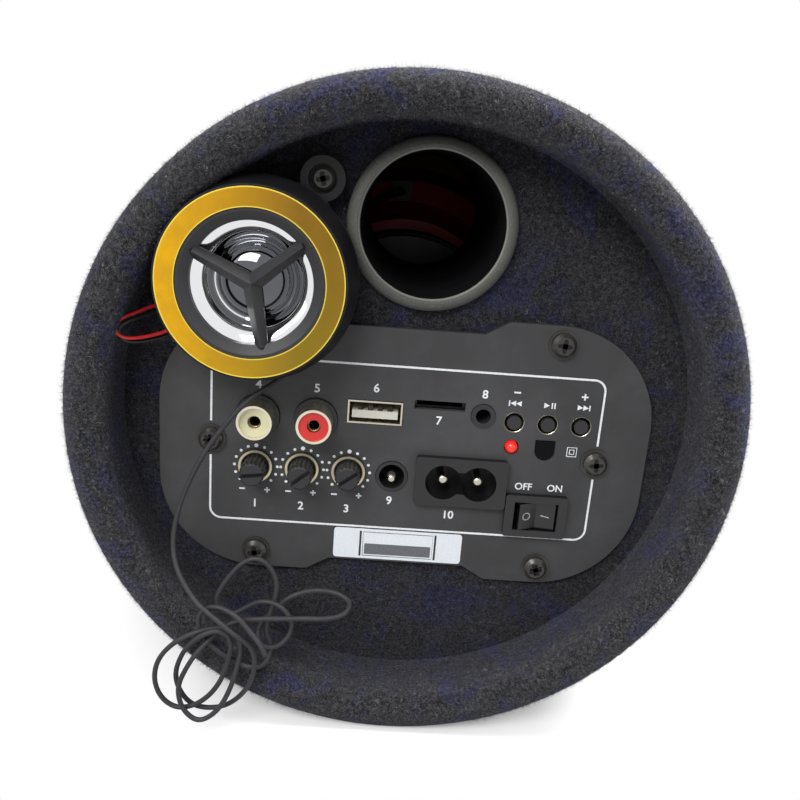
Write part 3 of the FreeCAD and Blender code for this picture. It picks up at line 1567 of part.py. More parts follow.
def windows(body, floor, shelf_inner):
    """Six windows through the basket's sloping wall."""
    sketch = sketch_on(body, "XZ_Plane")
    half = math.radians(d.window_angle.number / 2)
    inner = floor - d.basket_sheet / 2
    outer = shelf_inner - d.basket_sheet * CLEAR
    origin = (as_size(0), as_size(0))

    def spot(radius, angle):
        return (radius * math.cos(angle), radius * math.sin(angle))

    outline(sketch, [
        spot(inner, -half),
        spot(outer, -half) + (origin, "left"),
        spot(outer, half),
        spot(inner, half) + (origin, "right"),
    ])
    pocket = body.newObject("PartDesign::Pocket", "window")
    pocket.Profile = sketch
    pocket.Type = "ThroughAll"
    pocket.Midplane = False
    pocket.Reversed = True
    body.Tip = pocket
    doc.recompute()
    pattern = body.newObject("PartDesign::PolarPattern", "windows")
    pattern.Originals = [pocket]
    pattern.Axis = (origin_plane(body, "Y_Axis"), [""])
    pattern.Angle = FULL_TURN
    pattern.Occurrences = BASKET_WINDOWS
    body.Tip = pattern
    return body


def ring(name, inner, outer, y, thickness):
    """A plain ring on the tube's axis."""
    y = as_size(y)
    return turned(name, 0, axis_z, [
        (as_size(inner), y), (as_size(outer), y),
        (as_size(outer), y + thickness), (as_size(inner), y + thickness),
    ])


def make_motor(floor_y):
    """Top plate, ferrite ring and back plate with its pole."""
    top_y = floor_y - d.top_plate_thick
    ferrite_y = top_y - d.ferrite_thick
    back_y = ferrite_y - d.back_plate_thick
    top = ring("top_plate", d.gap_radius, d.plate_radius, top_y, d.top_plate_thick)
    back = turned("back_plate", 0, axis_z, [
        (as_size(0), back_y),
        (as_size(d.plate_radius), back_y),
        (as_size(d.plate_radius), ferrite_y),
        (as_size(d.pole_radius), ferrite_y),
        (as_size(d.pole_radius), floor_y),
        (as_size(0), floor_y),
    ])
    part("woofer_plates", group(top, back))
    part("woofer_magnet", ring("ferrite", d.ferrite_bore, d.ferrite_radius, ferrite_y, d.ferrite_thick))


def make_moving_parts(floor_y, flange_front):
    """Cone, dust cap, voice coil and what centres them."""
    paper = as_size(d.cone_paper)
    neck = as_size(d.cone_neck)
    edge = shelf_inner + d.cone_edge_out
    lip = as_size(d.cone_lip)
    lip_y = flange_front - paper
    neck_y = lip_y - d.cone_deep
    coil_y = floor_y - d.top_plate_thick / 2 - d.coil_length / 2
    face_low = neck_y + paper * CONE_FOOT
    face_edge = edge - paper * CONE_EDGE
    part("woofer_cone", turned("cone", 0, axis_z, [
        (neck, neck_y),
        (edge, lip_y),
        (edge + lip, lip_y),
        (edge + lip, lip_y + paper),
        (face_edge, lip_y + paper),
        (neck, face_low),
    ]))
    slope = (lip_y + paper - face_low) / (face_edge - neck)
    cap_radius = as_size(d.dust_cap_radius)
    cap_y = face_low + slope * (cap_radius - neck)
    high = d.dust_cap_high.number
    radius = d.dust_cap_radius.number
    sphere = (radius * radius + high * high) / (2 * high)
    ball = doc.addObject("Part::Sphere", "ball")
    sphere_size = (cap_radius * cap_radius + d.dust_cap_high * d.dust_cap_high) / (d.dust_cap_high * 2)
    bind(ball, "Radius", sphere_size)
    centre_y = cap_y + d.dust_cap_high - sphere_size
    place(ball, 0, centre_y, axis_z)
    inner_ball = doc.addObject("Part::Sphere", "inner_ball")
    bind(inner_ball, "Radius", sphere_size - paper)
    place(inner_ball, 0, centre_y, axis_z)
    rest = box_between(
        -sphere * CLEAR, sphere * CLEAR, centre_y - sphere_size * CLEAR, cap_y,
        axis_z - sphere * CLEAR, axis_z + sphere * CLEAR)
    part("woofer_dust_cap", cut(ball, inner_ball, rest))
    former = d.former_inner + d.former_wall
    tube = ring("former", d.former_inner, former, coil_y, neck_y + paper - coil_y)
    winding_inner = d.former_inner + d.former_wall / 2
    winding = ring("winding", winding_inner, former + d.coil_thick, coil_y, d.coil_length)
    part("voice_coil", joined(tube, winding))
    make_surround(flange_front, edge, lip)


def make_surround(flange_front, edge, lip):
    """A half-roll of rubber between the cone and the flange."""
    skin = as_size(d.surround_skin)
    roll = as_size(d.surround_roll)
    start = edge + lip
    end = start + roll * 2
    front = flange_front + skin
    centre = (start + roll, front)
    part("woofer_surround", turned("surround", 0, axis_z, [
        (start - d.surround_lip, flange_front),
        (start + skin, flange_front),
        (start + skin, front, centre, "right"),
        (end - skin, front),
        (end - skin, flange_front),
        (end + d.surround_lip, flange_front),
        (end + d.surround_lip, front),
        (end, front, centre, "left"),
        (start, front),
        (start - d.surround_lip, front),
    ]))


def make_spider(y, outer):
    """A flat corrugated disc between the coil's former and the basket's ledge."""
    skin = as_size(d.spider_skin)
    wave = as_size(d.spider_wave)
    inner = d.former_inner + d.former_wall
    pitch = (outer - inner) / SPIDER_STEPS
    lower = []
    upper = []
    for number in range(SPIDER_STEPS + 1):
        radius = inner + pitch * number
        rise = wave if number % 2 else wave * 0
        lower.append((radius, y + rise))
        upper.append((radius, y + rise + skin))
    part("woofer_spider", turned("spider", 0, axis_z, lower + upper[::-1]))


def make_terminals():
    """The tag strip on the basket's shelf, where the speaker lead ends."""
    angle = math.radians(d.terminal_angle.number)
    radius = (shelf_inner + shelf_outer) / 2
    x = radius * math.cos(angle)
    z = axis_z + radius * math.sin(angle)
    y = mount_y - d.basket_shelf_deep - d.basket_shelf_drop - d.terminal_thick
    part("woofer_terminals", box(x, d.terminal_width, y, d.terminal_thick, z, d.terminal_high))


# --- grille --------------------------------------------------------------------------------

def make_grille():
    skirt = d.body_radius - d.grille_skirt_in
    foot = skirt - d.grille_wall
    front = tube_front + d.grille_ring_high
    rounding = as_size(d.grille_round)
    lip = foot - d.grille_lip_step
    part("grille_ring", turned("ring", 0, axis_z, [
        (foot, mount_y),
        (tube_inner - d.seat_gap, mount_y),
        (tube_inner - d.seat_gap, tube_front),
        (skirt, tube_front),
        (skirt, front - rounding, (skirt - rounding, front - rounding), "left"),
        (skirt - rounding, front),
        (lip + d.grille_lip_chamfer, front),
        (lip, front - d.grille_lip_chamfer_deep),
        (lip, front - d.grille_lip_thick),
        (foot, front - d.grille_lip_thick),
    ]))
    skin = as_size(d.mesh_skin)
    outer = foot - d.seat_gap
    flat_inner = outer - d.mesh_flat
    mesh_y = front - d.grille_lip_thick - skin
    crown = d.overall_length / 2
    high = crown - mesh_y - skin
    sphere = (flat_inner * flat_inner + high * high) / (high * 2)
    ball = doc.addObject("Part::Sphere", "dome")
    bind(ball, "Radius", sphere)
    centre_y = crown - sphere
    place(ball, 0, centre_y, axis_z)
    inner_ball = doc.addObject("Part::Sphere", "inner_dome")
    bind(inner_ball, "Radius", sphere - skin)
    place(inner_ball, 0, centre_y, axis_z)
    reach = as_size(sphere.number * CLEAR)
    rest = box_between(
        -reach, reach, centre_y - reach, mesh_y + skin / 2, axis_z - reach, axis_z + reach)
    shell = cut(ball, inner_ball, rest)
    edge = ring("edge", flat_inner - skin * 2, outer, mesh_y, skin)
    part("grille_mesh", joined(shell, edge))


# --- cords ---------------------------------------------------------------------------------

# Each route is chosen by hand: (x, y, z) in millimetres from the panel's centre and face, with
# y counted towards the viewer.
ANTENNA_ROUTE = (
    (-28.3, -13.4, 18.9),
    (-28.3, -6.0, 18.9),
    (-28.45, 0.7, 18.7),
    (-29.7, 3.9, 17.2),
    (-31.9, 6.3, 15.8),
    (-34.9, 7.7, 14.0),
    (-38.9, 8.5, 11.0),
    (-42.5, 8.8, 6.3),
    (-45.5, 9.2, 0.8),
    (-49.0, 9.6, -6.2),
    (-51.9, 10.2, -14.1),
    (-53.0, 11.8, -22.0),
    (-51.5, 14.2, -28.1),
)
LEAD_RED_ROUTE = (
    (-39.0, -18.5, 19.8),
    (-39.0, -18.5, 22.8),
    (-41.2, -19.2, 25.8),
    (-45.0, -19.2, 28.0),
    (-49.4, -17.9, 29.1),
    (-52.5, -14.9, 29.4),
    (-53.2, -10.8, 29.2),
    (-53.2, -6.5, 29.0),
    (-53.3, -2.2, 29.1),
    (-53.3, 1.4, 28.5),
    (-54.5, 3.8, 27.2),
    (-57.0, 4.5, 26.1),
    (-59.6, 4.6, 26.0),
    (-62.15, 4.6, 26.9),
    (-63.3, 4.5, 29.1),
    (-62.55, 4.3, 31.5),
    (-60.4, 4.0, 32.7),
    (-58.3, 3.6, 32.1),
    (-56.07, 3.2, 31.49),
    (-53.66, 3.2, 32.47),
)
LEAD_BLACK_ROUTE = (
    (-41.3, -18.5, 19.8),
    (-41.3, -18.5, 22.5),
    (-43.6, -19.2, 24.9),
    (-47.2, -18.8, 26.4),
    (-50.9, -17.3, 27.4),
    (-53.2, -14.4, 27.8),
    (-53.7, -10.4, 27.7),
    (-53.6, -6.2, 27.6),
    (-53.7, -2.4, 27.6),
    (-53.6, 0.6, 27.0),
    (-54.6, 2.4, 25.6),
    (-57.0, 3.2, 24.5),
    (-59.7, 3.3, 24.5),
    (-62.2, 3.3, 25.5),
    (-63.2, 3.2, 27.8),
    (-62.4, 3.0, 30.2),
    (-60.2, 2.7, 31.3),
    (-58.2, 2.2, 30.8),
    (-55.29, 1.9, 29.98),
    (-53.05, 1.9, 31.1),
)
SPEAKER_LEAD_ROUTE = (
    (-30.0, -67.0, -7.0),
    (-30.0, -77.0, -7.0),
    (-35.0, -91.0, 0.0),
    (-41.0, -103.0, 12.0),
    (-38.5, -113.0, 28.0),
    (-27.0, -120.0, 42.0),
    (-14.0, -124.5, 52.0),
    (-5.5, -130.5, 56.3),
    (-3.0, -138.5, 56.3),
    (-3.0, -145.6, 56.3),
)


def route_points(route):
    """A route's points in the object's frame."""
    return [
        Vector(x, panel_y.number - y, panel_z.number + z)
        for x, y, z in route
    ]


def cord_path(points):
    """Straight runs joined by tangent arcs. Returns the wire and the arcs' radii."""
    edges = []
    radii = []
    start = points[0]
    for before, corner, after in zip(points, points[1:], points[2:]):
        first = corner - before
        second = after - corner
        reach = 0.45 * min(first.Length, second.Length)
        way_in = first.normalize()
        way_out = second.normalize()
        turn = way_in.getAngle(way_out)
        arc_start = corner - way_in * reach
        arc_end = corner + way_out * reach
        radius = reach / math.tan(turn / 2)
        radii.append(radius)
        bisector = (way_out - way_in).normalize()
        middle = corner + bisector * (radius / math.cos(turn / 2) - radius)
        edges.append(Part.LineSegment(start, arc_start).toShape())
        edges.append(Part.Arc(arc_start, middle, arc_end).toShape())
        start = arc_end
    edges.append(Part.LineSegment(start, points[-1]).toShape())
    return Part.Wire(edges), radii


def make_cord(label, points, size):
    """A round cord along its route."""
    path, radii = cord_path(points)
    radius = size.number
    section = Part.Wire(Part.Circle(points[0], points[1] - points[0], radius).toShape())
    tube = path.makePipeShell([section], True, False)
    expected = math.pi * radius * radius * path.Length
    print("%s: length %.1f, radii from %.2f, volume %.4f of expected" % (
        label, path.Length, min(radii), tube.Volume / expected))
    thing = doc.addObject("Part::Feature", label)
    thing.Shape = tube
    part(label, thing)


def make_antenna():
    """The aerial cord and its coiled end, one flat oval whose edge the cord meets."""
    centre = Vector(d.hank_x.number, ahead(d.hank_ahead).number, (panel_z + d.hank_z).number)
    outwards = (centre - Vector(0, centre.y, axis_z.number)).normalize()
    lean = math.radians(d.hank_lean.number)
    facing = Vector(0, -1, 0) * math.cos(lean) - outwards * math.sin(lean)
    rise = math.radians(d.hank_rise.number)
    along = Vector(math.cos(rise), 0, math.sin(rise))
    along = (along - facing * along.dot(facing)).normalize()
    across = facing.cross(along)
    oval = doc.addObject("Part::Ellipse", "oval")
    bind(oval, "MajorRadius", d.hank_half_length)
    bind(oval, "MinorRadius", d.hank_half_width)
    hank = doc.addObject("Part::Extrusion", "hank")
    hank.Base = oval
    hank.DirMode = "Custom"
    hank.Dir = Vector(0, 0, 1)
    hank.Solid = True
    bind(hank, "LengthFwd", d.hank_thick)
    half_thick = d.hank_thick.number / 2
    hank.Placement = Placement(centre - facing * half_thick, Rotation(along, across, facing, "XYZ"))
    part("antenna_hank", hank)
    entry = math.radians(d.hank_entry.number)
    long_reach = d.hank_half_length.number
    short_reach = d.hank_half_width.number
    edge = centre + along * (long_reach * math.cos(entry)) + across * (short_reach * math.sin(entry))
    inwards = along * (-math.cos(entry) / long_reach) - across * (math.sin(entry) / short_reach)
    inwards.normalize()
    last_run = [edge - inwards * d.hank_entry_run.number, edge]
    make_cord("antenna_cord", route_points(ANTENNA_ROUTE) + last_run, d.antenna_radius)


def check_and_write():
    """Stop on any failed object, then write one file for each sub-part."""
    doc.recompute()
    for thing in doc.Objects:
        if "Invalid" in thing.State or "Error" in thing.State:
            raise RuntimeError("%s (%s) failed: %s" % (thing.Name, thing.Label, thing.State))
    os.makedirs("parts", exist_ok=True)
    for thing in parts:
        shape = thing.Shape
        if shape.isNull() or not shape.isValid() or not shape.Solids:
            raise RuntimeError("%s has no valid solid" % thing.Label)
    for thing in parts:
        thing.Shape.exportStep("parts/%s.step" % thing.Label)
    print("%d sub-parts written" % len(parts))


make_tube()
make_felt()
make_rear_baffle()
make_front_baffle()
make_port()
make_panel()
make_boards()
make_phono_sockets()
make_usb_socket()
make_card_socket()
make_jack()
make_buttons()
make_lamp_and_eye()
make_controls()
make_supply_socket()
make_mains_inlet()
make_power_switch()
make_power_parts()
make_tweeter()
make_woofer()
make_terminals()
make_grille()
make_screws()
make_antenna()
make_cord("tweeter_lead_red", route_points(LEAD_RED_ROUTE), d.lead_radius)
make_cord("tweeter_lead_black", route_points(LEAD_BLACK_ROUTE), d.lead_radius)
make_cord("speaker_lead", route_points(SPEAKER_LEAD_ROUTE), d.speaker_lead_radius)
check_and_write()
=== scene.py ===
import json
import math

import bmesh
import bpy
from mathutils import Matrix, Vector

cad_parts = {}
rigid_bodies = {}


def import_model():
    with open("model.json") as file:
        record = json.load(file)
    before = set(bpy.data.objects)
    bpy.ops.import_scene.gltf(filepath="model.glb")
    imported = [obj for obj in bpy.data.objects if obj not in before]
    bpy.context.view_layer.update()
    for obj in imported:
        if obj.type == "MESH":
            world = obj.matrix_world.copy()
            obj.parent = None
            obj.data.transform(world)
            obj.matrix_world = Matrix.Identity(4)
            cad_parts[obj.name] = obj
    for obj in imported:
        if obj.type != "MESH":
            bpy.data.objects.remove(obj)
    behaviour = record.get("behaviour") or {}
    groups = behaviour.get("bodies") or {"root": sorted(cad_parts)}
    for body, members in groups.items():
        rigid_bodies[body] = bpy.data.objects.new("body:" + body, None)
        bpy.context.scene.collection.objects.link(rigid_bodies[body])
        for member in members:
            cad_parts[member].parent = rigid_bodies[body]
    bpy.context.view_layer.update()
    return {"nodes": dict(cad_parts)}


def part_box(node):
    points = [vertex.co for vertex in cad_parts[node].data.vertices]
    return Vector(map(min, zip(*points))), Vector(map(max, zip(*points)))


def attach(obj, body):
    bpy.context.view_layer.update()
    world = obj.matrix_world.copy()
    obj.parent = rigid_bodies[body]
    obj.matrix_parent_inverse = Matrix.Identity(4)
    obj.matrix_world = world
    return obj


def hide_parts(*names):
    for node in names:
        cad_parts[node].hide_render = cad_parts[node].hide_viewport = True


for leftover in list(bpy.data.objects):
    bpy.data.objects.remove(leftover)

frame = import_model()
MM = 0.001


# --- places, objects and node trees --------------------------------------------------------

def box_of(node):
    """A CAD node's low corner, high corner and middle."""
    low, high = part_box(node)
    return low, high, tuple((a + b) / 2 for a, b in zip(low, high))


panel_low, _, (panel_x, _, panel_z) = box_of("amp_panel")
face_y = panel_low[1]


def at(x, out, z):
    """A point so many millimetres from the panel's centre, out towards the plugs from its face."""
    return Vector((panel_x + x * MM, face_y - out * MM, panel_z + z * MM))


def placed(name, data):
    """A new object in the scene."""
    thing = bpy.data.objects.new(name, data)
    bpy.context.scene.collection.objects.link(thing)
    return thing


def taken(thing):
    """The plain mesh that an object comes to. The object itself is removed."""
    bpy.context.view_layer.update()
    mesh = bpy.data.meshes.new_from_object(
        thing.evaluated_get(bpy.context.evaluated_depsgraph_get()))
    bpy.data.objects.remove(thing)
    return mesh


def add_node(tree, kind, *inputs, **settings):
    """A node with its settings made and its inputs linked or filled."""
    node = tree.nodes.new(kind)
    for key, value in settings.items():
        setattr(node, key, value)
    for socket, value in inputs:
        if isinstance(value, bpy.types.NodeSocket):
            tree.links.new(value, node.inputs[socket])
        elif value is not None:
            node.inputs[socket].default_value = value
    return node


# --- camera --------------------------------------------------------------------------------

right = Vector((0.9972, -0.0100, 0.0745))
down = Vector((0.0689, -0.2763, -0.9586))
ahead = Vector((0.0301, 0.9610, -0.2748))
stand = Vector((-0.00785, -0.27124, 0.13385))
camera_data = bpy.data.cameras.new("camera")
camera_data.lens = 36.9
camera_data.sensor_width = 36.0
camera_data.clip_start = 0.01
camera_data.clip_end = 20.0
camera = placed("camera", camera_data)
turned = Matrix((right, -down, -ahead)).transposed().to_4x4()
camera.matrix_world = Matrix.Translation(stand) @ turned
bpy.context.scene.camera = camera
bpy.context.scene.view_settings.view_transform = "Standard"


# --- cords ---------------------------------------------------------------------------------

# Millimetres from the panel's centre: across, out from its face, up.
AERIAL = (
    (-28.3, -13.4, 18.9), (-28.3, -6.0, 18.9), (-28.45, 0.7, 18.7), (-29.7, 3.9, 17.2),
    (-31.9, 6.3, 15.8), (-34.9, 7.7, 13.9), (-38.4, 8.5, 10.6), (-42.0, 8.8, 5.9),
    (-45.5, 9.2, 0.8), (-49.0, 9.6, -6.2), (-51.9, 10.2, -14.1), (-53.0, 11.8, -22.0),
    (-51.5, 14.2, -28.1),
)
AERIAL_COIL = (
    (-46.7, 17.3, -33.9), (-43.5, 18.8, -35.8), (-40.5, 19.8, -37.6), (-37.6, 20.2, -39.9),
    (-34.7, 20.3, -41.7), (-32.7, 20.1, -43.7), (-31.8, 19.6, -46.8), (-31.9, 19.0, -50.5),
    (-32.9, 18.4, -54.8), (-35.5, 18.0, -59.0), (-38.8, 17.8, -61.7), (-42.4, 17.6, -62.7),
    (-45.8, 17.6, -62.4), (-48.3, 17.6, -60.6), (-50.1, 17.8, -57.2), (-50.7, 18.0, -53.7),
    (-50.0, 18.2, -50.2), (-48.4, 18.4, -46.5), (-46.0, 19.4, -43.2), (-43.6, 19.9, -41.1),
    (-40.8, 20.1, -39.8), (-38.4, 19.5, -40.9), (-37.3, 19.5, -43.6), (-37.8, 19.1, -47.1),
    (-38.6, 19.4, -50.7), (-40.2, 19.5, -54.7), (-42.5, 19.4, -58.1), (-45.4, 19.2, -60.7),
    (-48.2, 19.1, -61.8), (-50.5, 19.0, -61.9), (-53.1, 18.9, -60.4), (-54.9, 18.8, -57.5),
    (-55.5, 18.8, -53.9), (-54.8, 18.9, -50.1), (-53.0, 19.1, -46.8), (-50.2, 19.0, -44.0),
    (-46.6, 19.2, -41.6), (-43.3, 18.3, -40.8), (-40.6, 17.6, -40.6), (-38.1, 17.1, -41.5),
    (-36.1, 17.5, -43.5), (-35.4, 18.0, -46.6), (-35.9, 18.9, -49.6), (-36.5, 19.7, -52.6),
    (-37.9, 20.0, -56.9), (-39.7, 20.5, -60.5), (-42.2, 20.7, -63.1), (-44.7, 20.7, -64.1),
    (-47.0, 20.7, -62.7), (-48.7, 20.7, -60.1), (-49.4, 20.6, -56.9), (-49.2, 20.5, -54.0),
    (-47.7, 20.2, -50.4), (-45.4, 20.5, -46.1), (-42.8, 18.7, -43.5), (-40.7, 16.7, -41.9),
    (-38.5, 15.3, -40.8), (-35.6, 15.6, -39.5), (-32.5, 16.9, -38.3), (-28.9, 17.1, -37.8),
    (-24.7, 17.0, -37.6), (-20.4, 16.8, -37.3), (-16.5, 16.9, -37.2), (-12.9, 15.9, -37.0),
    (-10.7, 13.6, -36.5), (-10.6, 11.0, -35.6), (-12.9, 9.2, -34.8), (-16.8, 8.7, -34.2),
    (-21.3, 9.2, -34.4), (-25.2, 10.2, -35.7), (-27.7, 10.4, -38.0), (-30.1, 11.0, -40.5),
    (-32.1, 12.0, -42.9), (-32.3, 13.7, -45.3), (-30.8, 14.8, -46.8), (-28.2, 15.2, -46.8),
    (-25.9, 15.1, -45.4), (-24.2, 14.4, -43.0), (-24.1, 13.8, -40.1), (-25.8, 13.5, -37.3),
    (-29.1, 12.7, -35.9), (-32.4, 12.1, -36.4), (-35.4, 11.5, -38.5), (-37.8, 11.4, -40.3),
    (-40.3, 11.6, -40.4), (-42.2, 11.7, -38.8), (-42.6, 11.6, -36.5), (-41.4, 11.3, -33.5),
    (-39.3, 11.0, -30.3), (-37.1, 10.6, -27.5), (-34.2, 10.5, -25.8), (-31.5, 10.6, -26.3),
    (-29.4, 10.8, -28.7), (-28.2, 10.9, -31.8), (-28.4, 11.2, -34.9), (-29.1, 11.8, -37.9),
    (-30.0, 12.5, -40.9), (-30.2, 13.2, -43.8), (-28.9, 13.4, -46.6), (-28.9, 15.0, -49.4),
    (-30.6, 16.5, -51.2), (-32.8, 17.6, -50.9), (-35.7, 17.6, -50.1), (-38.6, 17.6, -48.4),
    (-41.4, 17.6, -46.5), (-43.7, 17.6, -44.0), (-45.3, 17.2, -41.5), (-45.8, 16.7, -38.9),
    (-44.3, 17.0, -36.2), (-41.2, 18.0, -34.8), (-37.9, 19.1, -35.4), (-35.4, 19.8, -36.8),
    (-33.3, 20.4, -39.1), (-31.3, 21.0, -41.1), (-29.9, 21.4, -42.8), (-29.1, 21.5, -44.8),
)
RED_LEAD = (
    (-39.0, -18.5, 19.8), (-39.0, -18.5, 22.8), (-41.2, -19.2, 25.8), (-45.0, -19.2, 28.0),
    (-49.4, -17.9, 29.1), (-52.5, -14.9, 29.4), (-53.2, -10.8, 29.2), (-53.2, -6.5, 29.0),
    (-53.3, -2.2, 29.1), (-53.4, 1.2, 28.4), (-54.7, 3.2, 27.0), (-56.6, 4.5, 25.9),
    (-59.3, 6.6, 25.3), (-61.8, 8.6, 25.0), (-64.0, 10.2, 25.3), (-65.4, 11.1, 26.7),
    (-65.4, 11.1, 28.5), (-64.0, 10.0, 29.9), (-61.8, 7.9, 30.7), (-59.7, 5.5, 31.6),
    (-57.8, 3.7, 32.1), (-55.8, 3.2, 32.0), (-53.66, 3.2, 32.47),
)
BLACK_LEAD = (
    (-41.3, -18.5, 19.8), (-41.3, -18.5, 22.5), (-43.6, -19.2, 24.9), (-47.2, -18.8, 26.4),
    (-50.9, -17.3, 27.4), (-53.2, -14.4, 27.8), (-53.7, -10.4, 27.7), (-53.6, -6.2, 27.6),
    (-53.7, -2.4, 27.6), (-53.7, 0.4, 27.0), (-54.8, 2.2, 25.9), (-56.6, 3.5, 24.8),
    (-59.3, 5.5, 24.2), (-61.7, 7.4, 23.9), (-63.7, 8.8, 24.2), (-65.0, 9.7, 25.6),
    (-65.0, 9.7, 27.4), (-63.6, 8.6, 28.7), (-61.5, 6.6, 29.4), (-59.5, 4.3, 30.2),
    (-57.6, 2.5, 30.7), (-55.3, 1.9, 30.4), (-53.05, 1.9, 31.1),
)
SPEAKER_LEAD = (
    (-30.0, -67.0, -7.0), (-30.0, -77.0, -7.0), (-35.0, -91.0, 0.0), (-41.0, -103.0, 12.0),
    (-38.5, -113.0, 28.0), (-27.0, -120.0, 42.0), (-14.0, -124.5, 52.0), (-5.5, -130.5, 56.3),
    (-3.0, -138.5, 56.3), (-3.0, -145.6, 56.3),
)

def lay_cord(name, route, radius, finish):
    """A smooth round cord whose control points are the route's."""
    data = bpy.data.curves.new(name, "CURVE")
    data.dimensions = "3D"
    data.bevel_depth = radius
    data.bevel_resolution = 3
    data.use_fill_caps = True
    spline = data.splines.new("NURBS")
    spline.points.add(len(route) - 1)
    for point, place in zip(spline.points, route):
        point.co = (*at(*place), 1.0)
    spline.order_u = 3
    spline.use_endpoint_u = True
    spline.resolution_u = 6
    data.materials.append(finish)
    return placed(name, data)


def cord_length(cord):
    """The length of a cord's centreline."""
    data = cord.data.copy()
    data.bevel_depth = 0.0
    line = taken(placed("bare", data))
    total = sum((line.vertices[e.vertices[0]].co - line.vertices[e.vertices[1]].co).length
                for e in line.edges)
    bpy.data.meshes.remove(line)
    return total


# --- finishes ------------------------------------------------------------------------------

def seen(red, green, blue):
    """A colour given as it looks, 0 to 255, in the shader's own numbers."""
    def one(c):
        c /= 255
        return c / 12.92 if c <= 0.04045 else ((c + 0.055) / 1.055) ** 2.4
    return (one(red), one(green), one(blue), 1.0)


class Finish:
    """One material: a Principled shader with patterns on the object's own coordinates.

    Colours are tuples as they look, 0 to 255. Patterns are sockets.
    """

    def __init__(self, name, **shader):
        self.material = bpy.data.materials.new(name)
        self.material.use_nodes = True
        self.tree = self.material.node_tree
        self.shader = self.tree.nodes["Principled BSDF"]
        for socket, value in shader.items():
            self.shader.inputs[socket.replace("_", " ")].default_value = value
        self.place = self.node("TexCoord")["Object"]
        self.relief = None

    def node(self, kind, *inputs, **settings):
        """A new node's outputs."""
        return add_node(self.tree, "ShaderNode" + kind, *inputs, **settings).outputs

    def math(self, kind, a, b=None):
        return self.node("Math", (0, a), (1, b), operation=kind)[0]

    def vector(self, kind, a, b=None):
        return self.node("VectorMath", (0, a), (1, b), operation=kind)

    def about(self, centre, stretch=(1, 1, 1)):
        """Object coordinates counted from a point, and stretched."""
        return self.vector("MULTIPLY", self.vector("SUBTRACT", self.place, centre)[0], stretch)[0]

    def reach(self, centre, stretch=(1, 0, 1)):
        """The distance from a centre, across the Y axis if the stretch isn't given."""
        return self.vector("LENGTH", self.about(centre, stretch))["Value"]

    def part_of(self, vector, axis):
        """One of a vector's three numbers."""
        return self.node("SeparateXYZ", (0, vector))[axis]

    def noise(self, scale, detail=3.0, rough=0.55, where=None, twist=0.0):
        return self.node("TexNoise", ("Vector", where or self.place), ("Scale", scale),
                         ("Detail", detail), ("Roughness", rough), ("Distortion", twist))[0]

    def cells(self, scale, where=None):
        return self.node("TexVoronoi", ("Vector", where or self.place),
                         ("Scale", scale))["Distance"]

    def waves(self, scale, axis, where=None, twist=0.0):
        """Bands across an axis, or rings round it where a place is given."""
        kind = "RINGS" if where else "BANDS"
        return self.node("TexWave", ("Vector", where or self.place), ("Scale", scale),
                         ("Distortion", twist), wave_type=kind,
                         **{kind.lower() + "_direction": axis})["Fac"]

    def spread(self, value, low, high, out_low=0.0, out_high=1.0):
        """A value from low to high, carried to out_low to out_high and held there."""
        return self.node("MapRange", (0, value), (1, low), (2, high), (3, out_low),
                         (4, out_high))[0]

    def blend(self, factor, a, b, kind="MIX"):
        """Two colours or patterns of colour, blended."""
        a, b = (seen(*c) if isinstance(c, tuple) else c for c in (a, b))
        return self.node("Mix", (0, factor), (6, a), (7, b), data_type="RGBA",
                         blend_type=kind)[2]

    def give(self, socket, value):
        """One of the shader's inputs, taken from a pattern."""
        self.tree.links.new(value, self.shader.inputs[socket])

    def colour(self, factor, a, b, kind="MIX"):
        self.give("Base Color", self.blend(factor, a, b, kind))

    def roughness(self, value, smooth, rough, low=0.3, high=0.7):
        self.give("Roughness", self.spread(value, low, high, smooth, rough))

    def bump(self, height, distance, strength=1.0):
        """Relief on the surface, in metres, on top of what it has already."""
        self.relief = self.node("Bump", ("Height", height), ("Distance", distance),
                                ("Strength", strength), ("Normal", self.relief))[0]
        self.give("Normal", self.relief)


def plain(name, low, high, mottle, gloss=None, grains=(), **shader):
    """A finish with mottled colour, uneven gloss and grains in relief.

    Each is a noise's own numbers. Then a mottle may have the noise's range, a gloss has two
    roughnesses, and a grain has its depth and perhaps its strength.
    """
    f = Finish(name, **shader)
    pattern = f.noise(*mottle[0])
    f.colour(f.spread(pattern, *mottle[1:]) if mottle[1:] else pattern, low, high)
    if gloss:
        f.roughness(f.noise(*gloss[0]), *gloss[1:])
    for noise, *relief in grains:
        f.bump(f.noise(*noise), *relief)
    return f.material


def moulded_plastic(name, low, high, grain=0.000012, gloss=(0.38, 0.52), shine=0.35):
    """Plastic with a fine spark-eroded grain and slight handling marks."""
    return plain(name, low, high, ((90, 4),), ((240, 4), *gloss),
                 (((5200, 2), grain), ((260, 2), grain * 1.5, 0.5)), Specular_IOR_Level=shine)


def painted_metal(name, low, high, peel=0.00002, gloss=(0.3, 0.45)):
    """Paint or powder coat with its orange peel."""
    return plain(name, low, high, ((120, 5),), ((300, 4), *gloss), (((1400, 3), peel),),
                 Specular_IOR_Level=0.4)


def chrome(name, low, high):
    """Bright plating over smooth plastic."""
    return plain(name, low, high, ((60, 2),), ((500, 2), 0.03, 0.07),
                 (((120, 1), 0.00001, 0.3),), Metallic=1.0)


def rubber(name, low, high):
    """Soft rubber with a bloom on it."""
    return plain(name, low, high, ((160, 5),), ((420, 3), 0.5, 0.68),
                 (((2600, 3), 0.00002),), Specular_IOR_Level=0.3)


def insulation(name, low, high):
    """Soft wire insulation, a little shiny."""
    return plain(name, low, high, ((700, 3),), ((1500, 2), 0.3, 0.42),
                 (((3000, 2), 0.00001),), Specular_IOR_Level=0.5)


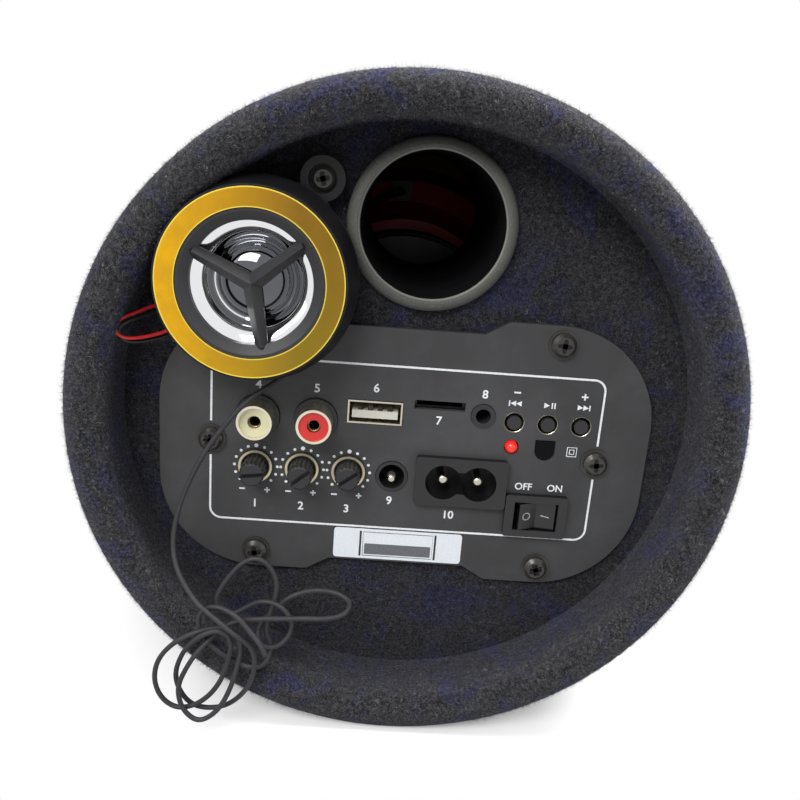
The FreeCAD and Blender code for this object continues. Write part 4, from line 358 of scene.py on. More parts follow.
def printed(name, low, high, roughness=0.5):
    """Screen-printed ink with slightly uneven cover."""
    return plain(name, low, high, ((2600, 3), 0.3, 0.7), None, (((4200, 2), 0.00001),),
                 Roughness=roughness, Specular_IOR_Level=0.3)


def plated_metal(name, low, high, gloss=(0.16, 0.34)):
    """Drawn and plated sheet: soft waviness, drawing lines and small scratches."""
    f = Finish(name, Metallic=1.0)
    f.colour(f.noise(210, 3), low, high)
    drawn = f.noise(900, 3, where=f.about((0, 0, 0), (1, 0.06, 1)))
    f.roughness(drawn, *gloss)
    f.bump(drawn, 0.000004)
    f.bump(f.noise(320, 2), 0.00002, 0.5)
    return f.material


def brass(name, low, high):
    """Turned brass, slightly tarnished."""
    f = Finish(name, Metallic=1.0)
    tarnish = f.spread(f.noise(300, 4), 0.35, 0.65)
    f.colour(tarnish, low, high)
    f.roughness(tarnish, 0.42, 0.22, 0.0, 1.0)
    f.bump(f.waves(2600, "Y"), 0.00002)
    return f.material


def blue_fibres(f, most):
    """Where the felt's blue fibres gather."""
    return f.spread(f.noise(85, 4, 0.65, twist=1.0), 0.5, 0.64, 0.0, most)


def packed_colour(f, tone):
    """The felt's colour, with painted shade: darker deeper in the recess, towards the panel."""
    # Painted shade: the colour grows darker from 13 mm to 5 mm in front of the panel's face, and
    # stays so deeper in.
    depth = f.spread(f.part_of(f.about((0, face_y, 0)), 1), -13 * MM, -5 * MM)
    f.colour(1.0, tone, f.blend(depth, (255, 255, 255), (215, 215, 220)), "MULTIPLY")


def make_felt():
    """Dark needle felt: matted black, brown-grey and blue fibres, pits and lint."""
    f = Finish("felt", Specular_IOR_Level=0.08, Sheen_Weight=0.22, Sheen_Roughness=0.45,
               Sheen_Tint=seen(190, 190, 205))
    matted = f.spread(f.noise(150, 5, 0.7, twist=0.6), 0.36, 0.64)
    ground = f.blend(matted, (19, 19, 23), (43, 42, 43))
    blue = blue_fibres(f, 0.7)
    ground = f.blend(blue, ground, (32, 34, 60))
    clumps = f.spread(f.noise(1050, 5, 0.75, twist=1.0), 0.45, 0.66)
    ground = f.blend(clumps, ground, f.blend(blue, (78, 77, 78), (66, 68, 106)))
    strands = f.spread(f.noise(3200, 3, 0.6, twist=3.0), 0.58, 0.74, 0.0, 0.8)
    ground = f.blend(strands, ground, (128, 128, 132))
    pits = f.spread(f.noise(1300, 4, 0.7, twist=1.5), 0.54, 0.62, 0.0, 0.85)
    ground = f.blend(pits, ground, (8, 8, 10))
    lint = f.spread(f.cells(520), 0.0, 0.12, 1.0, 0.0)
    rare = f.spread(f.noise(330, 1), 0.64, 0.67)
    # Painted shade in the recess, on top of the felt's own colours.
    packed_colour(f, f.blend(f.math("MULTIPLY", lint, rare), ground, (165, 166, 176)))
    f.roughness(f.noise(700, 2), 0.85, 1.0, 0.0, 1.0)
    f.bump(f.noise(1500, 5, 0.7, twist=1.2), 0.0006)
    f.bump(f.noise(180, 3), 0.0006, 0.5)
    return f.material


def make_fibre():
    """The loose hairs that stand off the felt."""
    f = Finish("felt_fibre", Specular_IOR_Level=0.1, Roughness=0.85)
    blue = blue_fibres(f, 0.8)
    tone = f.blend(f.spread(f.noise(1500, 2), 0.43, 0.6),
                   f.blend(blue, (17, 17, 19), (22, 24, 50)),
                   f.blend(blue, (122, 121, 123), (98, 101, 156)))
    pale = f.spread(f.noise(430, 1), 0.66, 0.71, 0.0, 0.7)
    packed_colour(f, f.blend(pale, tone, (168, 168, 174)))
    return f.material


def make_wound_tube():
    """Cardboard tube with its spiral joints."""
    f = Finish("paper_tube", Roughness=0.85, Specular_IOR_Level=0.15)
    fibres = f.noise(800, 4, where=f.about((0, 0, 0), (1, 0.2, 1)))
    f.colour(fibres, (112, 90, 66), (150, 124, 94))
    f.bump(f.waves(9, "DIAGONAL"), 0.0002, 0.4)
    f.bump(fibres, 0.00005)
    return f.material


def make_gold():
    """Gold anodised ring, turned fine, with painted reflections: orange left, olive to brown
    right; edges paler.
    """
    low, high, centre = box_of("tweeter_trim_ring")
    outer = (high[0] - low[0]) / 2
    f = Finish("gold_ring", Metallic=1.0)
    turned_lines = f.waves(1700, "Y", f.about(centre), 0.3)
    where = f.about(centre, (1, 0, 1))
    # Painted reflections: the colour changes from left to right and from bottom to top.
    across = f.spread(f.part_of(where, 0), -outer, outer * 0.5)
    reflected_upward = f.spread(f.part_of(where, 2), -outer, outer)
    tone = f.blend(across, (236, 178, 32), f.blend(reflected_upward, (142, 122, 40), (128, 94, 34)))
    tone = f.blend(f.spread(f.noise(190, 4), 0.35, 0.7, 0.0, 0.35), tone, (158, 118, 48))
    radius = f.reach(centre)
    inside = f.spread(radius, outer - 4.15 * MM, outer - 3.9 * MM, 1.0, 0.0)
    outside = f.spread(radius, outer - 0.32 * MM, outer - 0.12 * MM)
    f.colour(f.math("MAXIMUM", inside, outside), tone, (248, 222, 96))
    f.roughness(turned_lines, 0.24, 0.38, 0.0, 1.0)
    f.bump(turned_lines, 0.00001, 0.6)
    return f.material


def make_circuit_board():
    """Green lacquer over copper tracks, glass weave under it."""
    f = Finish("circuit_board", Roughness=0.35, Specular_IOR_Level=0.5)
    tracks = f.spread(f.cells(330, f.about((0, 0, 0), (1, 1, 0.2))), 0.36, 0.4)
    f.colour(tracks, (24, 74, 46), (40, 100, 62))
    f.bump(f.math("MULTIPLY", f.waves(900, "X"), f.waves(900, "Y")), 0.00002)
    f.bump(tracks, 0.00004)
    return f.material


def striped(name, scale, axis, low, high, depth, **shader):
    """Layers or turns side by side, such as stacked sheets or wound wire."""
    f = Finish(name, **shader)
    stripes = f.waves(scale, axis)
    f.colour(stripes, low, high)
    f.bump(stripes, depth)
    return f.material


def make_ferrite():
    """Sintered ferrite: dark grey, chalky, with small chips."""
    f = Finish("ferrite", Roughness=0.75)
    f.colour(f.noise(500, 5), (38, 38, 40), (62, 61, 60))
    f.bump(f.spread(f.cells(240), 0.0, 0.2), 0.00006, 0.5)
    f.bump(f.noise(2000, 4), 0.00003)
    return f.material


def make_paper_cone():
    """Pressed pulp: fibres and faint ribs round the cone."""
    f = Finish("paper_cone", Roughness=0.8, Specular_IOR_Level=0.2)
    fibres = f.noise(1100, 5, 0.7, twist=1.5)
    f.colour(f.spread(fibres, 0.35, 0.65), (25, 25, 27), (52, 52, 55))
    f.bump(fibres, 0.00012)
    f.bump(f.waves(120, "Y", f.about((0, 0, panel_z + 8.4 * MM))), 0.00008, 0.4)
    return f.material


def make_spider_cloth():
    """Resin-dipped woven cloth, ochre."""
    f = Finish("spider_cloth", Roughness=0.85, Sheen_Weight=0.2)
    weave = f.math("MULTIPLY", f.waves(1100, "X"), f.waves(1100, "Z"))
    f.colour(weave, (150, 108, 44), (196, 152, 78))
    f.bump(weave, 0.00012)
    return f.material


def make_sleeve_finish():
    """Printed shrink sleeve over an aluminium can."""
    f = Finish("can_sleeve", Roughness=0.3)
    f.colour(f.spread(f.waves(16, "Z"), 0.82, 0.86), (24, 28, 44), (150, 152, 158))
    f.bump(f.noise(600, 2), 0.00004)
    return f.material


def make_port_plastic():
    """Matt grey flange with a paler lip, a painted highlight, round a bore painted near black as
    shade.
    """
    low, high, centre = box_of("port_tube")
    f = Finish("port_plastic", Specular_IOR_Level=0.2)
    radius = f.reach(centre)
    mouth = (high[0] - low[0]) / 2 - 3.0 * MM
    ring = f.blend(f.noise(90, 4), (74, 74, 71), (90, 90, 86))
    ring = f.blend(f.spread(f.noise(2600, 3), 0.5, 0.62, 0.0, 0.5), ring, (104, 104, 98))
    # Painted highlight: a paler band just outside the mouth.
    lip = f.spread(radius, mouth + 0.3 * MM, mouth + 0.45 * MM, 1.0, 0.0)
    ring = f.blend(lip, ring, (118, 118, 112))
    # Painted shade: inside the mouth the plastic is near black.
    f.colour(f.math("LESS_THAN", radius, mouth), ring, (9, 9, 12))
    f.roughness(f.noise(240, 4), 0.5, 0.65)
    f.bump(f.noise(2600, 3), 0.00003)
    return f.material


def make_bushing_finish():
    """Black control bodies with a thin pale metal ring at each of the three bushings' rims,
    painted as its highlight.
    """
    pitch = 11.25 * MM
    middle, height = box_of("pot_bodies")[2][0], box_of("volume_shaft")[2][2]
    f = Finish("bushing", Roughness=0.35)
    left, centre, right_hand = (
        f.reach((middle + number * pitch, 0, height)) for number in (-1, 0, 1))
    radius = f.math("MINIMUM", f.math("MINIMUM", left, centre), right_hand)
    # Painted highlight: a pale metal ring 3.45 to 4.12 mm from each bushing's axis, on its real
    # metal rim.
    edge = f.math("MULTIPLY", f.spread(radius, 3.45 * MM, 3.6 * MM),
                  f.spread(radius, 4.02 * MM, 4.12 * MM, 1.0, 0.0))
    f.colour(edge, f.blend(f.noise(300, 3), (22, 21, 20), (40, 38, 35)),
             f.blend(f.noise(420, 3), (150, 138, 108), (222, 212, 182)))
    f.give("Metallic", edge)
    f.bump(f.noise(2400, 2), 0.00001)
    return f.material


def make_supply_finish():
    """Black plastic whose middle pin is bare metal."""
    f = Finish("supply_plastic", Specular_IOR_Level=0.4, Roughness=0.35)
    pin = f.math("LESS_THAN", f.reach(box_of("supply_socket")[2]), 1.05 * MM)
    f.colour(pin, f.blend(f.noise(90, 4), (26, 26, 28), (38, 38, 40)),
             f.blend(f.noise(400, 3), (150, 146, 138), (206, 202, 192)))
    f.give("Metallic", pin)
    f.bump(f.noise(3200, 2), 0.00001)
    return f.material

# A finish for each material that the CAD nodes name.
finishes = {material.name.split(".")[0]: material for material in (
    make_felt(),
    plain("wood_board", (120, 92, 62), (158, 126, 90), ((1200, 5, 0.7), 0.35, 0.65), None,
          (((1800, 4), 0.00006),), Roughness=0.8, Specular_IOR_Level=0.2),
    make_wound_tube(),
    plain("panel_black", (52, 52, 53), (66, 66, 67), ((42, 5, 0.6), 0.4, 0.7),
          ((260, 3), 0.45, 0.6), (((2400, 3, 0.6), 0.00003, 0.8), ((130, 2), 0.00006, 0.3)),
          Specular_IOR_Level=0.3),
    moulded_plastic("black_plastic", (30, 30, 32), (43, 43, 45)),
    moulded_plastic("gloss_black", (16, 16, 18), (26, 26, 28), 0.000003, (0.16, 0.26), 0.5),
    make_gold(),
    chrome("chrome", (222, 223, 226), (240, 240, 242)),
    moulded_plastic("cream_plastic", (198, 194, 154), (216, 212, 174), 0.00001, (0.3, 0.42), 0.3),
    moulded_plastic("red_plastic", (176, 30, 30), (205, 44, 40), 0.00001, (0.28, 0.4), 0.5),
    plated_metal("nickel", (176, 168, 152), (214, 208, 194)),
    brass("brass", (150, 112, 58), (208, 176, 112)),
    make_circuit_board(),
    painted_metal("black_screw", (30, 30, 30), (62, 60, 55), 0.00001, (0.14, 0.28)),
    plated_metal("aluminium", (168, 170, 174), (202, 204, 208), (0.3, 0.5)),
    striped("transformer", 700, "Y", (70, 68, 66), (112, 110, 106), 0.00008,
            Roughness=0.5, Metallic=0.6),
    make_sleeve_finish(),
    painted_metal("red_paint", (176, 22, 20), (206, 34, 28)),
    make_ferrite(),
    plated_metal("steel", (150, 148, 140), (190, 188, 182), (0.24, 0.42)),
    make_paper_cone(),
    rubber("rubber", (22, 22, 24), (40, 40, 43)),
    make_spider_cloth(),
    striped("coil", 1500, "Y", (120, 58, 26), (206, 118, 62), 0.0001, Metallic=0.9, Roughness=0.3),
    painted_metal("grille_steel", (26, 26, 28), (42, 42, 44), 0.00001),
    rubber("cord_rubber", (32, 31, 33), (58, 56, 59)),
    insulation("lead_red", (180, 26, 28), (214, 44, 42)),
    insulation("lead_black", (20, 20, 22), (36, 36, 38)),
    # Painted glow: the red lens has an emission, though nothing lights it from within.
    plain("lens_red", (196, 16, 16), (235, 40, 34), ((900, 2),), None, (((800, 2), 0.00002),),
          Roughness=0.12, Emission_Strength=0.55, Emission_Color=seen(255, 40, 30),
          Coat_Weight=0.5),
    plain("window_dark", (5, 4, 7), (12, 9, 13), ((300, 2),), None, (((500, 2), 0.00001),),
          Roughness=0.08, Specular_IOR_Level=0.08),
)}
for node in frame["nodes"].values():
    for material_slot in node.material_slots:
        material_slot.material = finishes[material_slot.name.split(".")[0]]
# Nodes that look different from the finish they are named after.
OTHER_FINISHES = {
    "tweeter_dome": chrome("dome_film", (84, 86, 90), (112, 113, 116)),
    "port_tube": make_port_plastic(),
    "woofer_plates": painted_metal("dark_steel", (24, 24, 26), (40, 40, 42)),
    "woofer_basket": painted_metal("basket_red", (206, 24, 42), (228, 34, 54)),
    "card_socket": plated_metal("card_steel", (34, 34, 36), (64, 64, 66), (0.3, 0.42)),
    "mains_pins": plated_metal("pin_nickel", (120, 116, 106), (176, 170, 156), (0.2, 0.3)),
    "phono_sleeves": plated_metal("sleeve_nickel", (206, 198, 176), (236, 229, 208), (0.3, 0.42)),
    "pot_bodies": make_bushing_finish(),
    "supply_socket": make_supply_finish(),
    "usb_tongue": moulded_plastic("tongue_white", (186, 183, 172), (208, 205, 194), 0.00001),
    "tweeter_housing": moulded_plastic("housing_black", (15, 15, 17), (26, 26, 28), shine=0.22),
}
for node, other in OTHER_FINISHES.items():
    for material_slot in frame["nodes"][node].material_slots:
        material_slot.material = other
white_ink = printed("white_ink", (206, 207, 208), (232, 233, 234))
label_white = printed("label_white", (206, 210, 214), (222, 226, 230))
label_line = printed("label_line", (30, 30, 34), (48, 48, 52))
label_grey = printed("label_grey", (84, 86, 90), (104, 106, 110))
mark_grey = printed("mark_grey", (150, 150, 148), (176, 176, 172))
# Painted shade for the screws' cross recesses.
painted_recess_shade = printed("painted_recess_shade", (5, 5, 6), (10, 10, 11), 0.7)
# Brass painted near black: painted shade on the USB contacts.
contact_black = brass("contact_black", (18, 17, 15), (44, 40, 34))
contact_dark = brass("contact", (92, 78, 54), (150, 130, 96))
bare_edge = plated_metal("bare_edge", (150, 142, 122), (216, 208, 188), (0.22, 0.36))


# --- making pieces -------------------------------------------------------------------------

def mesh_of(shape, name, smooth=False):
    """A bmesh made into a mesh."""
    mesh = bpy.data.meshes.new(name)
    shape.to_mesh(mesh)
    shape.free()
    if smooth:
        mesh.shade_smooth()
    return mesh


def piece(name, mesh, finish, slot, body="cabinet", replaces=()):
    """A finished piece: its place is in its mesh, and it rides on a body."""
    mesh.materials.clear()
    mesh.materials.append(finish)
    thing = placed(name, mesh)
    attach(thing, body)
    if replaces:
        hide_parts(*replaces)


def merged_copy(node, keep):
    """A CAD node's surface as joined faces, only those that keep(centre, normal) wants."""
    shape = bmesh.new()
    shape.from_mesh(frame["nodes"][node].data)
    bmesh.ops.remove_doubles(shape, verts=shape.verts, dist=0.005 * MM)
    unwanted = [f for f in shape.faces if not keep(f.calc_center_median(), f.normal)]
    bmesh.ops.delete(shape, geom=unwanted, context="FACES")
    return mesh_of(shape, node + "_skin")


def join_rows(shape, here, there):
    """Four-sided faces between two closed rows of points."""
    for corner in range(len(here)):
        after = (corner + 1) % len(here)
        shape.faces.new((here[corner], there[corner], there[after], here[after]))


def lathe(profile, centre, count=96):
    """A closed ring of revolution about Y from (radius, y) corners, as a bmesh."""
    shape = bmesh.new()
    rows = []
    for step in range(count):
        turn = 2 * math.pi * step / count
        rows.append([shape.verts.new((
            centre[0] + radius * math.cos(turn), y, centre[2] + radius * math.sin(turn)))
            for radius, y in profile])
    for here, there in zip(rows, rows[1:] + rows[:1]):
        join_rows(shape, here, there)
    bmesh.ops.remove_doubles(shape, verts=shape.verts, dist=0.0001 * MM)
    bmesh.ops.recalc_face_normals(shape, faces=shape.faces)
    return shape


class Tree:
    """A Geometry Nodes tree with named inputs and a finish, written step by step."""

    def __init__(self, name, **inputs):
        self.tree = bpy.data.node_groups.new(name, "GeometryNodeTree")
        face = self.tree.interface
        face.new_socket("Geometry", in_out="INPUT", socket_type="NodeSocketGeometry")
        for label, kind in (*inputs.items(), ("Finish", "Material")):
            face.new_socket(label, in_out="INPUT", socket_type="NodeSocket" + kind)
        face.new_socket("Geometry", in_out="OUTPUT", socket_type="NodeSocketGeometry")
        self.given = self.tree.nodes.new("NodeGroupInput").outputs
        self.result = self.tree.nodes.new("NodeGroupOutput").inputs[0]

    def step(self, kind, *inputs, **settings):
        return add_node(self.tree, kind, *inputs, **settings).outputs

    def math(self, kind, a, b=0.0):
        return self.step("ShaderNodeMath", (0, a), (1, b), operation=kind)[0]

    def point(self, x=None, y=None, z=None):
        return self.step("ShaderNodeCombineXYZ", (0, x), (1, y), (2, z))[0]

    def length(self, vector):
        return self.step("ShaderNodeVectorMath", (0, vector), operation="LENGTH")["Value"]

    def total(self, a, b):
        return self.step("ShaderNodeVectorMath", (0, a), (1, b), operation="ADD")[0]

    def end(self, geometry):
        whole = self.step("GeometryNodeRealizeInstances", (0, geometry))[0]
        dressed = self.step("GeometryNodeSetMaterial", ("Geometry", whole),
                            ("Material", self.given["Finish"]))[0]
        self.tree.links.new(dressed, self.result)
        return self.tree


def grown(name, tree, base, **inputs):
    """The plain mesh that a tree makes of a base mesh."""
    carrier = placed(name, base)
    modifier = carrier.modifiers.new("grow", "NODES")
    modifier.node_group = tree
    for item in tree.interface.items_tree:
        if item.in_out == "INPUT" and item.name in inputs:
            modifier[item.identifier] = inputs[item.name]
    return taken(carrier)


# --- felt ----------------------------------------------------------------------------------

def fibre_tree():
    """Three-sided hairs at random on the base's faces, each leaning its own way."""
    t = Tree("felt_fibres", Fibres="Float", Length="Float", Root="Float", Seed="Int")
    tilt, turn = 1.45, 3.1
    spots = t.step("GeometryNodeDistributePointsOnFaces", ("Mesh", t.given["Geometry"]),
                   ("Density", t.given["Fibres"]), ("Seed", t.given["Seed"]))
    hair = t.step("GeometryNodeMeshCone", ("Vertices", 3), ("Side Segments", 1),
                  ("Radius Top", 0.0), ("Radius Bottom", t.given["Root"]),
                  ("Depth", t.given["Length"]), fill_type="NONE")[0]
    stretch = t.step("FunctionNodeRandomValue", (0, (0.8, 0.8, 0.35)), (1, (1.2, 1.2, 1.0)),
                     ("Seed", 5), data_type="FLOAT_VECTOR")[0]
    hairs = t.step("GeometryNodeInstanceOnPoints", ("Points", spots["Points"]),
                   ("Instance", hair), ("Rotation", spots["Rotation"]), ("Scale", stretch))[0]
    lean = t.step("FunctionNodeRandomValue", (0, (-tilt, -tilt, -turn)), (1, (tilt, tilt, turn)),
                  ("Seed", 9), data_type="FLOAT_VECTOR")[0]
    return t.end(t.step("GeometryNodeRotateInstances", ("Instances", hairs),
                        ("Rotation", lean))[0])


def make_fuzz():
    """The hairs on the rolled rim, round the barrel, and in the recess."""
    tree = fibre_tree()
    fibre = make_fibre()
    low, high, middle = box_of("carpet_wrap")
    flat = 0.35 * MM
    axis = Vector((middle[0], 0, (low[2] + high[2] + flat) / 2))
    clear_of_floor = 3.2 * MM
    rim_reach, recess_end, barrel_end = low[1] + 7 * MM, face_y + 4 * MM, high[1] - 0.5 * MM

    def from_axis(point):
        return math.hypot(point.x - axis.x, point.z - axis.z)

    def on_rim(point, normal):
        return point.z > clear_of_floor and point.y < rim_reach

    def on_barrel(point, normal):
        outward = (point.x - axis.x) * normal.x + (point.z - axis.z) * normal.z > 0
        return point.z > clear_of_floor and rim_reach <= point.y < barrel_end \
            and outward and from_axis(point) > 75 * MM

    def in_recess(point, normal):
        return from_axis(point) < 74 * MM and rim_reach <= point.y < recess_end \
            and normal.y < 0.5

    def on_board(point, normal):
        return normal.y < -0.9

    # Piece, node, its faces, hairs in a square metre, their length and root in mm, seed.
    for name, node, wanted, fibres, length, root, seed in (
            ("rim_fuzz", "carpet_wrap", on_rim, 6.0e6, 1.5, 0.028, 3),
            ("barrel_fuzz", "carpet_wrap", on_barrel, 0.8e6, 1.5, 0.04, 4),
            ("recess_fuzz", "carpet_wrap", in_recess, 5.0e6, 1.3, 0.028, 5),
            ("baffle_fuzz", "baffle_felt", on_board, 4.0e6, 1.2, 0.028, 6)):
        hairs = grown(name, tree, merged_copy(node, wanted), Fibres=fibres, Length=length * MM,
                      Root=root * MM, Seed=seed, Finish=fibre)
        piece(name, hairs, fibre, "felt")


# --- grille --------------------------------------------------------------------------------

def punched_tile(pitch, hole, thick, sides=12):
    """One hexagonal tile of sheet with a round hole, lying flat about the origin."""
    shape = bmesh.new()
    rings = []
    for level in (0.0, -thick):
        edge, bore = [], []
        for corner in range(sides):
            turn = 2 * math.pi * corner / sides
            nearest = (turn + math.pi / 6) % (math.pi / 3) - math.pi / 6
            reach = pitch / 2 / math.cos(nearest)
            edge.append(shape.verts.new((reach * math.cos(turn), reach * math.sin(turn), level)))
            bore.append(shape.verts.new((hole * math.cos(turn), hole * math.sin(turn), level)))
        rings += [edge, bore]
    edge, bore, edge_back, bore_back = rings
    join_rows(shape, bore, edge)
    join_rows(shape, edge_back, bore_back)
    join_rows(shape, bore_back, bore)
    return mesh_of(shape, "tile")


def punched_sheet_tree():
    """Tiles in staggered rows, trimmed round, pressed to a dome."""
    t = Tree("punched_sheet", Pitch="Float", Rows="Int", Edge="Float", Dome="Float")
    pitch, rows, edge, dome = (t.given[label] for label in ("Pitch", "Rows", "Edge", "Dome"))
    half_pitch = t.math("MULTIPLY", pitch, 0.5)
    across = t.math("MULTIPLY", pitch, t.math("SUBTRACT", rows, 1.0))
    up = t.math("MULTIPLY", across, math.sqrt(3) / 2)
    grid = t.step("GeometryNodeMeshGrid", ("Size X", across), ("Size Y", up),
                  ("Vertices X", rows), ("Vertices Y", rows))[0]
    index = t.step("GeometryNodeInputIndex")[0]
    odd = t.math("MODULO", t.math("MODULO", index, rows), 2.0)
    shift = t.math("MULTIPLY", t.math("SUBTRACT", odd, 0.5), half_pitch)
    grid = t.step("GeometryNodeSetPosition", ("Geometry", grid), ("Offset", t.point(shift)))[0]
    where = t.step("GeometryNodeInputPosition")[0]
    outside = t.step("FunctionNodeCompare", (0, t.length(where)),
                     (1, t.math("ADD", edge, half_pitch)), operation="GREATER_THAN")[0]
    grid = t.step("GeometryNodeDeleteGeometry", ("Geometry", grid), ("Selection", outside))[0]
    points = t.step("GeometryNodeMeshToPoints", ("Mesh", grid))[0]
    tiles = t.step("GeometryNodeInstanceOnPoints", ("Points", points),
                   ("Instance", t.given["Geometry"]))[0]
    sheet = t.step("GeometryNodeRealizeInstances", (0, tiles))[0]
    x, y, z = t.step("ShaderNodeSeparateXYZ", (0, where))
    flat = t.point(x, y)
    reach = t.length(flat)
    held = t.math("MINIMUM", 1.0, t.math("DIVIDE", edge, t.math("MAXIMUM", reach, 1e-6)))
    trimmed = t.step("ShaderNodeVectorMath", (0, flat), (3, held), operation="SCALE")[0]
    held_reach = t.math("MULTIPLY", reach, held)
    rise = t.math("SUBTRACT", t.math("SQRT", t.math(
        "SUBTRACT", t.math("MULTIPLY", dome, dome),
        t.math("MULTIPLY", held_reach, held_reach))), dome)
    final = t.total(trimmed, t.total(t.point(z=z), t.point(z=rise)))
    sheet = t.step("GeometryNodeSetPosition", ("Geometry", sheet), ("Position", final))[0]
    return t.end(t.step("GeometryNodeMergeByDistance", ("Geometry", sheet),
                        ("Distance", 0.02 * MM))[0])


def make_punched_grille():
    """The perforated steel dome and the flat edge that the ring holds."""
    low, high, centre = box_of("grille_mesh")
    outer = (high[0] - low[0]) / 2
    thick, pitch, hole, rows = 1.0 * MM, 3.4 * MM, 1.2 * MM, 41
    edge = outer - 5.4 * MM
    seat = edge - 0.3 * MM
    rise = high[1] - low[1] - thick
    dome = (edge * edge + rise * rise) / (2 * rise)
    sheet = grown("punched", punched_sheet_tree(), punched_tile(pitch, hole, thick), Pitch=pitch,
                  Rows=rows, Edge=edge, Dome=dome, Finish=finishes["grille_steel"])
    sheet.transform(Matrix.Translation((centre[0], high[1], centre[2]))
                    @ Matrix.Rotation(-math.pi / 2, 4, "X"))
    shape = lathe(((seat, low[1]), (outer, low[1]), (outer, low[1] + thick),
                   (seat, low[1] + thick)), centre, 128)
    shape.from_mesh(sheet)
    piece("grille_punched", mesh_of(shape, "grille_punched"), finishes["grille_steel"],
          "grille_steel", replaces=("grille_mesh",))

# --- printing ------------------------------------------------------------------------------

LETTER, SWITCH_LETTER = 2.9, 2.45
LINE, THIN_LINE = 0.4, 0.3
SIGN_HEIGHT, SIGN_SIZE = 13.7, 1.35
OVER = 0.02             # a shape that crosses another lies this much in front of it


class Ink:
    """Flat shapes printed on the panel, in millimetres from its centre."""

    def __init__(self, proud=0.02):
        self.shape = bmesh.new()
        self.proud = proud

    def patch(self, corners, lift=0.0):
        """One flat face; its corners run anticlockwise for someone who faces the panel."""
        self.shape.faces.new([self.shape.verts.new(at(x, self.proud + lift, z))
                              for x, z in corners])

    def stroke(self, path, width, lift=0.0):
        """A line of one width along a path."""
        sides = []
        for number, (x, z) in enumerate(path):
            before = path[max(number - 1, 0)]
            after = path[min(number + 1, len(path) - 1)]
            run, rise = after[0] - before[0], after[1] - before[1]
            size = math.hypot(run, rise)
            aside = (-rise / size * width / 2, run / size * width / 2)
            sides.append(((x - aside[0], z - aside[1]), (x + aside[0], z + aside[1])))
        for (low_a, high_a), (low_b, high_b) in zip(sides, sides[1:]):
            self.patch((low_a, low_b, high_b, high_a), lift)

    def minus(self, x, z, reach):
        self.stroke(((x - reach, z), (x + reach, z)), LINE)

    def plus(self, x, z, reach, upright):
        self.minus(x, z, reach)
        self.stroke(((x, z - upright), (x, z + upright)), LINE, OVER)

    def bar(self, x, width):
        """An upright bar of a transport sign."""
        self.stroke(((x, SIGN_HEIGHT - 0.7), (x, SIGN_HEIGHT + 0.7)), width)

    def triangle(self, x, to_right=True):
        """The triangle of a transport sign."""
        half = SIGN_SIZE / 2
        tip = half if to_right else -half
        corners = [(x - tip, SIGN_HEIGHT - half), (x + tip, SIGN_HEIGHT),
                   (x - tip, SIGN_HEIGHT + half)]
        self.patch(corners if to_right else corners[::-1])

    def take(self, mesh, x, z):
        """A flat mesh, laid on the panel about a point."""
        for vertex in mesh.vertices:
            vertex.co = at(x + vertex.co.x, self.proud, z + vertex.co.y)
        self.shape.from_mesh(mesh)
        bpy.data.meshes.remove(mesh)

    def words(self, text, x, z, size, bold):
        """Letters or numbers centred on a point."""
        data = bpy.data.curves.new("letters", "FONT")
        data.body = text
        data.size = size
        data.offset = bold
        data.align_x = "CENTER"
        data.align_y = "CENTER"
        data.resolution_u = 4
        self.take(taken(placed("letters", data)), x, z)

    def finished(self, name, ink):
        piece(name, mesh_of(self.shape, name), ink, "panel_black")


def arc(x, z, radius, start, end, steps=8):
    """Points of an arc, angles in degrees."""
    turns = [math.radians(start + (end - start) * i / steps) for i in range(steps + 1)]
    return [(x + radius * math.cos(turn), z + radius * math.sin(turn)) for turn in turns]


def frame_line(side):
    """Half of the border round the controls, from one side screw to the other."""
    half_width, half_high, corner, gap = 46.65, 20.7, 2.8, 4.3
    left = arc(-half_width + corner, half_high - corner, corner, 180, 90)
    right_end = arc(half_width - corner, half_high - corner, corner, 90, 0)
    line = [(-half_width, gap)] + left + right_end + [(half_width, gap)]
    return [(x, z * side) for x, z in (line if side > 0 else line[::-1])]


def dot_tree():
    """Round dots along an arc."""
    t = Tree("dial_dots", Dots="Int", Reach="Float", Start="Float", Sweep="Float", Dot="Float")
    line = t.step("GeometryNodeCurveArc", ("Resolution", t.given["Dots"]),
                  ("Radius", t.given["Reach"]), ("Start Angle", t.given["Start"]),
                  ("Sweep Angle", t.given["Sweep"]))[0]
    spots = t.step("GeometryNodeCurveToPoints", ("Curve", line), mode="EVALUATED")[0]
    dot = t.step("GeometryNodeMeshCircle", ("Vertices", 12), ("Radius", t.given["Dot"]),
                 fill_type="NGON")[0]
    return t.end(t.step("GeometryNodeInstanceOnPoints", ("Points", spots), ("Instance", dot))[0])


def centre_of(node):
    """A control's axis, in millimetres from the panel's centre."""
    x, _, z = box_of(node)[2]
    return (x - panel_x) / MM, (z - panel_z) / MM


def print_dials(ink):
    """Dots, minus, plus and number for each rotary control."""
    dots, nothing = dot_tree(), bpy.data.meshes.new("nothing")
    for number, node in enumerate(("volume_shaft", "treble_shaft", "bass_shaft"), 1):
        x, z = centre_of(node)
        ink.take(grown("dots", dots, nothing, Dots=13, Reach=5.2, Start=math.radians(-43.5),
                       Sweep=math.radians(267), Dot=0.36, Finish=white_ink), x, z - 0.3)
        ink.patch(arc(x, z + 4.95, 0.52, 0, 330, 11), OVER)
        ink.minus(x - 3.2, z - 6.4, 0.7)
        ink.plus(x + 2.9, z - 6.4, 0.7, 0.7)
        ink.words(str(number), x, -16.3, LETTER, 0.06)


